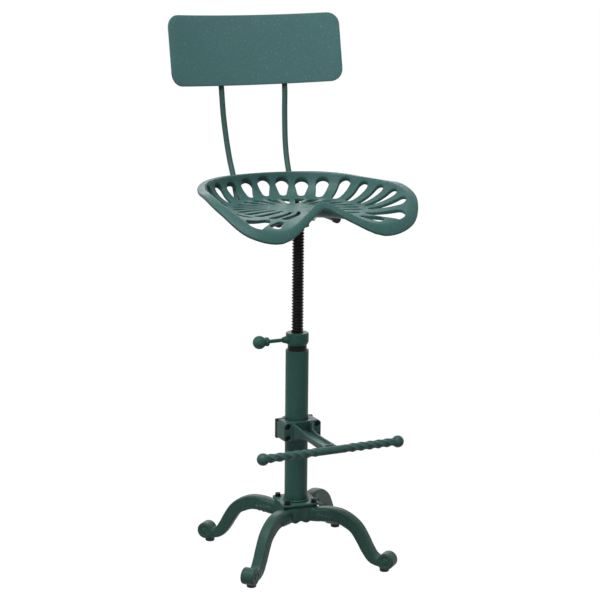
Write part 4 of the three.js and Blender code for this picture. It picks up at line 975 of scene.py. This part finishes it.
def steel(name, tone, metal, gloss, scale, rub=0.0):
    """Steel under a thin finish: a slow change of tone, a fine grain in the gloss, and edges and
    crests that have rubbed brighter. The gloss is the least and the most roughness."""
    material, output = fresh_material(name)
    tree = material.node_tree
    grained = placed(tree, DRAWN_GRAIN, scale=scale)
    rubbed = placed(tree, RUBBED_EDGES, least_bend=0.54, full_bend=0.66, amount=rub)
    pale = tuple(value * 1.7 + 0.002 for value in tone)
    clouded = blended(tree, remapped(tree, grained["Clouds"], 0.3, 0.7), (*tone, 1), (*pale, 1))
    worn = blended(tree, rubbed["Edges"], clouded, RUBBED_TONE)
    rough = remapped(tree, grained["Grain"], 0.25, 0.75, *gloss)
    bump = node(tree, "ShaderNodeBump", {"Height": grained["Grain"], "Strength": 0.15,
                                         "Distance": GRAIN_DEPTH / 1000})
    shader = node(tree, "ShaderNodeBsdfPrincipled", {
        "Base Color": worn, "Metallic": metal, "Roughness": rough, "Normal": bump.outputs[0],
        "Specular IOR Level": 0.16})
    tree.links.new(shader.outputs[0], output.inputs[0])
    return material


BLACK_STEEL = steel("black_steel", (0.002, 0.002, 0.0022), metal=0.0, gloss=(0.36, 0.52),
                    scale=45.0, rub=0.25)
ZINC_STEEL = steel("zinc_steel", (0.30, 0.31, 0.32), metal=1.0, gloss=(0.25, 0.42), scale=35.0)


def middle_of(node_name):
    """The middle of a CAD node's box."""
    return box_of(node_name).mean(0)


screw_head = boss_face + 2 * ROD_RADIUS + 1
for number, (x, z) in enumerate(panel_spots, 1):
    grid = on_panel(stand(socket_screw(**PANEL_SCREW), (x, screw_head, z), (0, 1, 0)))
    make_piece(f"panel_screw_{number}", [(grid, True)], BLACK_STEEL, "seat",
               [f"backrest_screw_{number}"])
washer_low, washer_high = box_of("plate_washer_1")[:, 2]
washer_profile = eased([(WASHER_HOLE, washer_low + 0.5), (WASHER_HOLE, washer_low),
                        (WASHER_RADIUS, washer_low), (WASHER_RADIUS, washer_high),
                        (WASHER_HOLE, washer_high), (WASHER_HOLE, washer_low + 0.5)],
                       (0.2, 0.3, 0.3, 0.2), 3)
base_side = (cos(BASE_TURN), sin(BASE_TURN), 0)
for number in range(1, 5):
    x, y, _ = middle_of(f"plate_bolt_{number}")
    grid = stand(socket_screw(**PLATE_SCREW), (x, y, washer_high + SCREW_LIFT), side=base_side)
    make_piece(f"plate_screw_{number}", [(grid, True)], BLACK_STEEL, "base",
               [f"plate_bolt_{number}"])
    grid = stand(turned(washer_profile, 36), (x, y, 0), side=base_side)
    make_piece(f"screw_washer_{number}", [(grid, True)], BLACK_STEEL, "base",
               [f"plate_washer_{number}"])
spots = [(side * CLAMP_SCREW_ASIDE, height) for side in (-1, 1) for height in CLAMP_SCREW_HEIGHTS]
for number, (x, z) in enumerate(spots, 1):
    grid = stand(socket_screw(**CLAMP_SCREW), (x, CLAMP_SCREW_FRONT, z), (0, -1, 0))
    make_piece(f"clamp_screw_{number}", [(grid, True)], BLACK_STEEL, "footrest",
               [f"clamp_bolt_{number}"])
nut_low, nut_high = box_of("seat_nut_1")
low, high, across = nut_low[2], nut_high[2], (nut_high[1] - nut_low[1]) / 2
round_to = np.full(SCREW_COLUMNS, across * 0.8)
bored = np.full(SCREW_COLUMNS, NUT_BORE)
six_sided = hexagon(across)
nut_rows = [(bored, low + 1), (bored, low), (round_to, low), (six_sided, low + NUT_CHAMFER),
            (six_sided, high - NUT_CHAMFER), (round_to, high), (bored, high), (bored, low + 1)]
turn = np.linspace(0, tau, SCREW_COLUMNS, endpoint=False)
nut = np.array([np.column_stack([radius * np.cos(turn), radius * np.sin(turn),
                                 np.full(SCREW_COLUMNS, height)]) for radius, height in nut_rows])
for number in range(1, 5):
    x, y, _ = middle_of(f"seat_bolt_{number}")
    grid = stand(socket_screw(**SEAT_SCREW, taper=SEAT_SCREW_TAPER), (x, y, FLOOR_HEIGHT))
    make_piece(f"seat_screw_{number}", [(grid, True)], SEAT_PAINT, "seat",
               [f"seat_bolt_{number}"])
    make_piece(f"hexagon_nut_{number}", [(stand(nut, (x, y, 0)), True)], ZINC_STEEL, "seat",
               [f"seat_nut_{number}"])


# Carrier plate and hub
# A black steel plate bolted under the seat lies on the two rods' level, and the turned sleeve
# welded under it holds the height screw's plain end.
CARRIER_CORNER = 8
CARRIER_EDGE = 0.8
SLEEVE_BORE = 9.9

width, depth, wall = CARRIER_HIGH - CARRIER_LOW
carrier = plate(width, depth, CARRIER_CORNER, wall, CARRIER_EDGE)
make_piece("carrier_plate", [(stand(carrier, middle_of("seat_carrier")), True)], BLACK_STEEL,
           "seat", ["seat_carrier"])
sleeve_low, sleeve_high = box_of("seat_hub")
low, high, outside = sleeve_low[2], sleeve_high[2], sleeve_high[0]
sleeve = eased([(SLEEVE_BORE, low + 3), (SLEEVE_BORE, low), (outside, low), (outside, high),
                (SLEEVE_BORE, high), (SLEEVE_BORE, low + 3)], (0.5, 2, 0.4, 0.4))
make_piece("hub_sleeve", [(turned(sleeve, 64), True)], ROD_PAINT, "seat", ["seat_hub"])


# Height screw
# A long screw of 25.4 mm with a coarse rolled thread lifts the seat a quarter inch a turn. It is
# black and lightly oiled, and its crests are a little brighter.
THREAD = {"crest": 12.7, "root": 9.9, "pitch": 6.35, "low": 380.3, "high": 712.3}
THREAD_COLUMNS = 48
THREAD_SHARES = (0, 0, 0.28, 0.72, 1, 1, 0.72, 0.28)
STUD_RADIUS = 8
SPIGOT_RADIUS = 9.6
END_RADIUS = 9.2
STUD_LOW, SPIGOT_HIGH = box_of("height_screw")[:, 2]

pitch = THREAD["pitch"]
laps = int((THREAD["high"] - THREAD["low"]) / pitch) + 3
rows = np.arange(laps * len(THREAD_SHARES) + 1)[:, None]
columns = np.arange(THREAD_COLUMNS + 1)[None] / THREAD_COLUMNS
height = THREAD["low"] + (rows / len(THREAD_SHARES) + columns - 1) * pitch
share = np.array(THREAD_SHARES)[rows % len(THREAD_SHARES)]
radius = THREAD["root"] + (THREAD["crest"] - THREAD["root"]) * share
plain = (height <= THREAD["low"]) | (height >= THREAD["high"])
radius = np.where(plain, END_RADIUS, radius)
height = np.clip(height, THREAD["low"], THREAD["high"])
turn = (columns % 1) * tau
thread = np.stack([radius * np.cos(turn), radius * np.sin(turn), height], -1)


def thread_end(profile):
    """A turned end with the thread's columns, the first of them repeated as the last."""
    grid = turned(profile, THREAD_COLUMNS)
    return np.concatenate([grid, grid[:, :1]], 1)


foot = thread_end([(0, STUD_LOW), (STUD_RADIUS, STUD_LOW), (STUD_RADIUS, THREAD["low"]),
                   (END_RADIUS, THREAD["low"])])
top = thread_end([(END_RADIUS, THREAD["high"]), (SPIGOT_RADIUS, THREAD["high"]),
                  (SPIGOT_RADIUS, SPIGOT_HIGH), (0, SPIGOT_HIGH)])
make_piece("lifting_screw", [(np.concatenate([foot, thread, top]), False)], BLACK_STEEL, "seat",
           ["height_screw"], sharp=50)


# Column head and lock
# A black threaded bush stands in the pipe's mouth. Above it a green collar with a short arm and a
# ball is screwed down against it to hold the height.
THREAD_BORE = 13
BUSH_INSIDE = 21
BUSH_NECK = 20
BUSH_LOW, BUSH_HIGH = box_of("thread_bush")[:, 2]
PIPE_LOW, PIPE_HIGH = box_of("column_tube")[:, 2]
COLLAR_LOW, COLLAR_HIGH = box_of("lock_collar")[:, 2]
COLLAR_OUTSIDE = box_of("lock_collar")[1][1]
COLLAR_FOOT_INSET = 4.6
COLLAR_FOOT_RISE = 7
ARM_HEIGHT = middle_of("lock_handle_ball")[2]
BALL_RADIUS = box_of("lock_handle_ball")[1][1]
BALL_REACH = -box_of("lock_handle_ball")[0][0] - BALL_RADIUS
BALL_NECK = 7.4
# Both as (radius, distance from the column's axis).
ARM_BOSS = ((0, 0), (8.5, 0), (8.5, 24), (6, 34), (4.3, 34), (4.3, 22), (0, 22))
ARM_PROFILE = ((0, 20), (4, 20), (4, 66.4), (9.5, 66.4), (9.5, 73.4), (BALL_NECK, 75))

bore, inside, neck = THREAD_BORE, BUSH_INSIDE, BUSH_NECK
bush = eased([(bore, BUSH_LOW + 4), (bore, BUSH_LOW), (inside, BUSH_LOW), (inside, PIPE_HIGH),
              (neck, PIPE_HIGH + 0.3), (neck, BUSH_HIGH), (bore, BUSH_HIGH),
              (bore, BUSH_LOW + 4)], (0.5, 0.5, 0.2, 0.1, 0.8, 0.8))
make_piece("neck_bush", [(turned(bush, 64), True)], BLACK_STEEL, "base", ["thread_bush"])
low, high, outside = COLLAR_LOW, COLLAR_HIGH, COLLAR_OUTSIDE
collar = eased([(bore, low + 5), (bore, low), (outside - COLLAR_FOOT_INSET, low),
                (outside, low + COLLAR_FOOT_RISE), (outside, high), (bore, high),
                (bore, low + 5)], (0.8, 1.5, 4.5, 2.6, 1.4), 6)
LOCK_PAINT = painted("lock_green", (0.034, 0.124, 0.101), flecks=0.3, lumps=0.35, roughness=0.44,
                     drift=0.12)


def on_arm(profile, columns):
    """A profile turned about the lock arm's level axis, which points to the sitter's right."""
    return stand(turned(profile, columns), (0, 0, ARM_HEIGHT), (-1, 0, 0), (0, 1, 0))


boss = on_arm(eased(ARM_BOSS, (0.2, 1, 1.2, 0.5, 0.3)), 40)
boss = boss[len(boss) // 8:]
make_piece("locking_collar", [(turned(collar, 72), True), (boss, True)], LOCK_PAINT, "lock",
           ["lock_collar"])
bend = np.linspace(np.arcsin(BALL_NECK / BALL_RADIUS), tau / 2, 28)
ball = np.stack([BALL_RADIUS * np.sin(bend), BALL_REACH - BALL_RADIUS * np.cos(bend)], -1)
arm = np.concatenate([eased(ARM_PROFILE, (0.3, 0.8, 2.6, 2.6), 6)[:-1], ball])
make_piece("lock_arm", [(on_arm(arm, 48), True)], LOCK_PAINT, "lock",
           ["lock_handle_rod", "lock_handle_ball"])


# Column and plate
# A length of steel pipe stands on a square plate, joined to it by a rippled bead of weld all
# round, and both are painted together.
PIPE_RADIUS = 24.3
PIPE_BORE = 21.3
WELD_REACH = 4
WELD_RIPPLES = 64
RIPPLE_RISE = 0.28
WELD_SWAY = 0.3
PLATE_LOW, PLATE_TOP = box_of("column_base_plate")[:, 2]
PLATE_WIDTH = 80
PLATE_CORNER = 6
PLATE_EDGE = 1


def turned_about(grid, angle):
    """A grid turned about the column's axis by an angle."""
    x, y, z = np.moveaxis(grid, -1, 0)
    return np.stack([x * cos(angle) - y * sin(angle), x * sin(angle) + y * cos(angle), z], -1)


bore, outside, low, high = PIPE_BORE, PIPE_RADIUS, PIPE_LOW, PIPE_HIGH
pipe = turned(eased([(bore, low + 9), (bore, low), (outside - 0.5, low), (outside - 0.5, low + 1),
                     (outside, low + 2), (outside, high), (bore, high), (bore, low + 9)],
                    (0.3, 0.2, 0.2, 0.2, 1.1, 0.8)), 96)
COLUMN_PAINT = painted("column_green", (0.032, 0.105, 0.085), flecks=0.3, lumps=0.25,
                       roughness=0.47, drift=0.14)
turn = np.linspace(0, tau, 384, endpoint=False)[None]
bend = np.linspace(0, tau, 17)[:, None]
ripple = (RIPPLE_RISE * np.abs(np.sin(turn * WELD_RIPPLES / 2))
          + WELD_SWAY * np.sin(turn * 3 + 1))
swell = WELD_REACH * 0.5 + ripple * np.clip(np.sin(bend + tau / 8), 0, 1)
radius = outside - 0.2 + WELD_REACH * 0.35 + swell * np.cos(bend)
height = np.maximum(low, low + WELD_REACH * 0.4 + swell * 0.85 * np.sin(bend))
bead = np.stack([radius * np.cos(turn), radius * np.sin(turn), height], -1)
make_piece("column_pipe", [(turned_about(pipe, BASE_TURN), True),
                           (turned_about(bead, BASE_TURN), True)],
           COLUMN_PAINT, "base", ["column_tube"], sharp=60)
square = plate(PLATE_WIDTH, PLATE_WIDTH, PLATE_CORNER, PLATE_TOP - PLATE_LOW, PLATE_EDGE,
               side_steps=(12, 12))
square = stand(square, (0, 0, (PLATE_LOW + PLATE_TOP) / 2))
make_piece("square_plate", [(turned_about(square, BASE_TURN), True)], COLUMN_PAINT, "base",
           ["column_base_plate"])


# Base casting
# Four bowed legs and a square hub are cast in one. Each leg has a shallow panel along both sides,
# a row of leaf ribs where it leaves the hub, and a round scroll on its toe over a rubber pad.
HUB_WIDTH = 76
HUB_CORNER = 12
HUB_LOW = 87
HUB_HIGH = box_of("base_casting")[1][2]
HUB_RIB_PITCH = 26
HUB_RIB_RISE = 2.4
HUB_SCALLOP = 4.5
PAD_CIRCLE = 207
LEG_HALF_WIDTH = 14
LEG_HALF_HEIGHT = 14.6
LEG_PANEL_DEPTH = 2.2
LEG_SQUARE = 0.52
# Along the leg: shares of the pad circle outward, of the hub's top upward, and of the thickness.
LEG_SHARES = ((0.1, 0.82, 1.05), (0.25, 0.835, 1.05), (0.38, 0.87, 1.05), (0.5, 0.862, 1.04),
              (0.592, 0.804, 1.03), (0.684, 0.701, 0.95), (0.76, 0.518, 0.92), (0.817, 0.35, 0.87),
              (0.88, 0.215, 0.81), (0.96, 0.165, 0.7), (1.03, 0.16, 0.55))
LEG_STATIONS = 90
LEG_SIDES = 44
TOE = {"radius": 17.6, "half": 14.5, "round": 3.5, "out": 214, "high": 24.4}
TOE_BOSS = {"radius": 11.5, "low": 6.8}
LEAF_STARTS = (54, 64, 74, 84)
LEAF_SIZES = (10, 9.4, 8.4, 7)
LEAF_HEIGHT = 0.8
PAD_RADIUS = 10
PAD_HEIGHT = 6.5
STEM_RADIUS = 3.6
STEM_HIGH = box_of("foot_pad_1")[1][2]
CAST_VOXEL = 1.4


def fused(mesh, voxel, rounds):
    """Overlapping closed shells made one skin by a voxel remesh, and smoothed a few rounds."""
    shells = bpy.data.objects.new("shells", mesh)
    bpy.context.collection.objects.link(shells)
    remesh = shells.modifiers.new("one_skin", "REMESH")
    remesh.mode, remesh.voxel_size = "VOXEL", voxel / 1000
    easing = shells.modifiers.new("easing", "SMOOTH")
    easing.factor, easing.iterations = 0.5, rounds
    graph = bpy.context.evaluated_depsgraph_get()
    skin = bpy.data.meshes.new_from_object(shells.evaluated_get(graph))
    bpy.data.objects.remove(shells)
    return skin


def hub_shell():
    """The square hub as loops from its top to its underside: its sides swell in upright ribs, and
    the lower edge hangs lower under each rib."""
    loop = rounded_loop(HUB_WIDTH, HUB_WIDTH, HUB_CORNER, 9, (36, 36))
    outward = loop / np.linalg.norm(loop, axis=1, keepdims=True)
    flat = np.min(np.abs(loop), axis=1)
    inside = smooth((HUB_WIDTH / 2 - HUB_CORNER - flat + 4) / 8)
    rib = (0.5 + 0.5 * np.cos(flat / HUB_RIB_PITCH * tau + tau / 2)) * inside
    shares = np.array([0, 0.9, 1, 1, 1, 1, 0.97, 0.86, 0])
    levels = np.array([1, 1, 0.94, 0.7, 0.4, 0.16, 0.04, 0, 0])
    swell = np.array([0, 0, 0, 0.75, 1, 1, 0.6, 0, 0])
    rows = [np.column_stack([loop * share + outward * (rib * HUB_RIB_RISE * grow)[:, None],
                             HUB_LOW + (HUB_HIGH - HUB_LOW) * level
                             - rib * HUB_SCALLOP * (1 - level) ** 3 * min(1, share * 1.2)])
            for share, level, grow in zip(shares, levels, swell)]
    return np.array(rows)


def closed_ends(rings):
    """Rings with one more at each end, drawn together in the end ring's middle."""
    middles = rings.mean(1, keepdims=True).repeat(rings.shape[1], 1)
    return np.concatenate([middles[:1], rings, middles[-1:]])


def leg_shell():
    """A leg along +X: a squared oval, the square root of a circle's sine and cosine or nearly so,
    drawn along the leg's curve, with each side pressed in to a panel."""
    table = np.array(LEG_SHARES)
    points = np.column_stack([table[:, 0] * PAD_CIRCLE, np.zeros(len(table)),
                              table[:, 1] * HUB_HIGH])
    line = curve_through(points, 12)
    length = frame_along(line, np.zeros(1))[-1]
    distances = np.linspace(0, length, LEG_STATIONS)
    place, ahead, beside, above, _ = frame_along(line, distances, (0, 1, 0))
    thick = np.interp(place[:, 0], points[:, 0], table[:, 2]) * LEG_HALF_HEIGHT
    turn = np.linspace(0, tau, LEG_SIDES, endpoint=False)
    across = np.sign(np.cos(turn)) * np.abs(np.cos(turn)) ** LEG_SQUARE * LEG_HALF_WIDTH
    upward = np.sign(np.sin(turn)) * np.abs(np.sin(turn)) ** LEG_SQUARE * thick[:, None]
    out = place[:, :1] / PAD_CIRCLE
    panel = smooth((out - 0.36) / 0.08) * smooth((0.93 - out) / 0.06)
    middle = smooth((0.62 - np.abs(np.sin(turn))[None]) / 0.22)
    across = across - np.sign(np.cos(turn)) * LEG_PANEL_DEPTH * panel * middle
    return closed_ends(place[:, None] + across[..., None] * beside[:, None]
                       + upward[..., None] * above[:, None])


def leaf_shell(out, size, side):
    """One rib of the leaf: a long egg that leans outward and down along the leg's flank."""
    bend = np.linspace(0, tau / 2, 13)
    egg = turned(np.stack([np.sin(bend) * size * 0.46, -np.cos(bend) * size * 1.15], -1), 18)
    lean = np.array([0.62, side * 0.18, 0.76])
    lean /= np.linalg.norm(lean)
    beside = np.cross([0, 1, 0], lean)
    beside /= np.linalg.norm(beside)
    return stand(egg, (out, side * (LEG_HALF_WIDTH - 1.4), HUB_HIGH * LEAF_HEIGHT), lean, beside)


toe_half, toe_radius, toe_round = TOE["half"], TOE["radius"], TOE["round"]
toe_side = [(0, toe_half + 0.4), (5, toe_half + 0.4), (6.2, toe_half - 1.5), (9.4, toe_half - 1.5),
            (11, toe_half), (toe_radius, toe_half)]
toe_profile = toe_side + [(radius, -height) for radius, height in toe_side[::-1]]
toe_cuts = [0.9, 1, 1, 1, toe_round, toe_round, 1, 1, 1, 0.9]
toe = stand(turned(eased(toe_profile, toe_cuts), 48), (TOE["out"], 0, TOE["high"]), (0, 1, 0))
toe_boss = stand(turned(eased([(0, TOE_BOSS["low"]), (TOE_BOSS["radius"], TOE_BOSS["low"]),
                               (TOE_BOSS["radius"], TOE["high"]), (0, TOE["high"])], (1, 1)), 40),
                 (PAD_CIRCLE, 0, 0))
shells = [hub_shell()]
for quarter in range(4):
    angle = (quarter + 0.5) * tau / 4
    leg_parts = [leg_shell(), toe, toe_boss]
    leg_parts += [leaf_shell(out, size, side) for out, size in zip(LEAF_STARTS, LEAF_SIZES)
                  for side in (-1, 1)]
    shells += [turned_about(part, angle) for part in leg_parts]
shells = [(turned_about(shell, BASE_TURN), True) for shell in shells]
CAST_PAINT = painted("casting_green", (0.026, 0.078, 0.064), flecks=0.35, lumps=1.6,
                     roughness=0.46, drift=0.16)
cast_skin = fused(shell_mesh("base_shells", shells), CAST_VOXEL, 3)
finish_piece("cast_base", cast_skin, CAST_PAINT, "base", ["base_casting"], 75)
pad_profile = eased([(0, 0), (PAD_RADIUS, 0), (PAD_RADIUS, PAD_HEIGHT), (STEM_RADIUS, PAD_HEIGHT),
                     (STEM_RADIUS, STEM_HIGH), (0, STEM_HIGH)], (1.6, 0.9, 0.3, 0.4))
for quarter in range(4):
    spot = turned_about(np.array([PAD_CIRCLE, 0, 0.0]), (quarter + 0.5) * tau / 4)
    grid = turned_about(stand(turned(pad_profile, 40), spot), BASE_TURN)
    make_piece(f"rubber_foot_{quarter + 1}", [(grid, True)], RUBBER, "base",
               [f"foot_pad_{quarter + 1}"])


# Footrest
# A cast bracket clamps on the pipe with a black strap behind it. Its two arms hold a bar of
# twisted square steel with a ball on each end.
BAR_LOW, BAR_HIGH = box_of("footrest_bar")
BAR_PLACE = middle_of("footrest_bar")[1:]
BAR_BALL = (BAR_HIGH[1] - BAR_LOW[1]) / 2
BAR_HALF = BAR_HIGH[0] - BAR_BALL
BAR_FLAT = 7.2
BAR_CORNER = 9.3
BAR_ROUND = 8.2
BAR_MIDDLE = 22
TWIST_PITCH = 80
SQUARENESS = 7.6
BRACKET_VOXEL = 1.1
STRAP_VOXEL = 0.9

# The bar is a squared circle that turns as it goes out from a plain round middle.
x = np.linspace(-BAR_HALF, BAR_HALF, 261)[:, None]
beyond = np.maximum(0, np.abs(x) - BAR_MIDDLE)
share = smooth(beyond / BAR_MIDDLE)
twist = np.sign(x) * beyond / TWIST_PITCH * tau
turn = np.linspace(0, tau, 48, endpoint=False)[None]
square = BAR_FLAT / (np.abs(np.cos(turn)) ** SQUARENESS
                     + np.abs(np.sin(turn)) ** SQUARENESS) ** (1 / SQUARENESS)
radius = BAR_ROUND * (1 - share) + np.minimum(square, BAR_CORNER) * share
bar = closed_ends(np.stack([x + 0 * turn, BAR_PLACE[0] + radius * np.cos(turn + twist),
                            BAR_PLACE[1] + radius * np.sin(turn + twist)], -1))
bend = np.linspace(0, tau / 2, 25)
ball = turned(np.stack([BAR_BALL * np.sin(bend), -BAR_BALL * np.cos(bend)], -1), 40)
balls = [(stand(ball, (side * BAR_HALF, *BAR_PLACE), (1, 0, 0), (0, 1, 0)), True)
         for side in (-1, 1)]
BAR_PAINT = painted("bar_green", (0.034, 0.090, 0.080), flecks=0.3, lumps=0.5, roughness=0.45,
                    drift=0.14, worn=0.6)
make_piece("twisted_bar", [(bar, True), *balls], BAR_PAINT, "footrest", ["footrest_bar"])


def eased_copy(name, voxel, rounds):
    """A CAD node's shape with cast edges: its loose triangles are merged in a copy, which is
    remeshed and smoothed."""
    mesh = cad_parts[name].data.copy()
    merged = bmesh.new()
    merged.from_mesh(mesh)
    bmesh.ops.remove_doubles(merged, verts=merged.verts, dist=0.00002)
    merged.to_mesh(mesh)
    merged.free()
    mesh.materials.clear()
    return fused(mesh, voxel, rounds)


bracket = eased_copy("footrest_bracket", BRACKET_VOXEL, 6)
finish_piece("cast_bracket", bracket, BAR_PAINT, "footrest", ["footrest_bracket"],
             75)
strap = eased_copy("footrest_clamp_rear", STRAP_VOXEL, 3)
finish_piece("clamp_strap", strap, BLACK_STEEL, "footrest", ["footrest_clamp_rear"],
             75)


# Inside the pipe
# A nylon sleeve, a washer and a bolt on the screw's foot guide it in the pipe and stop it from
# leaving. They are hidden, and keep the model's own shapes.


def moulded_nylon():
    """Natural nylon: milky, with a slow cloudiness in its tone and gloss."""
    material, output = fresh_material("pale_nylon")
    tree = material.node_tree
    cloud = noise(tree, node(tree, "ShaderNodeTexCoord").outputs["Object"], 70.0, 3.0)
    milky = blended(tree, cloud, (0.56, 0.53, 0.45, 1), (0.66, 0.63, 0.56, 1))
    shader = node(tree, "ShaderNodeBsdfPrincipled", {
        "Base Color": milky, "Roughness": remapped(tree, cloud, 0.0, 1.0, 0.4, 0.6)})
    tree.links.new(shader.outputs[0], output.inputs[0])
    return material


for name, material in (("screw_guide", moulded_nylon()), ("stop_washer", ZINC_STEEL),
                       ("stop_bolt", ZINC_STEEL)):
    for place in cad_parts[name].material_slots:
        place.material = material
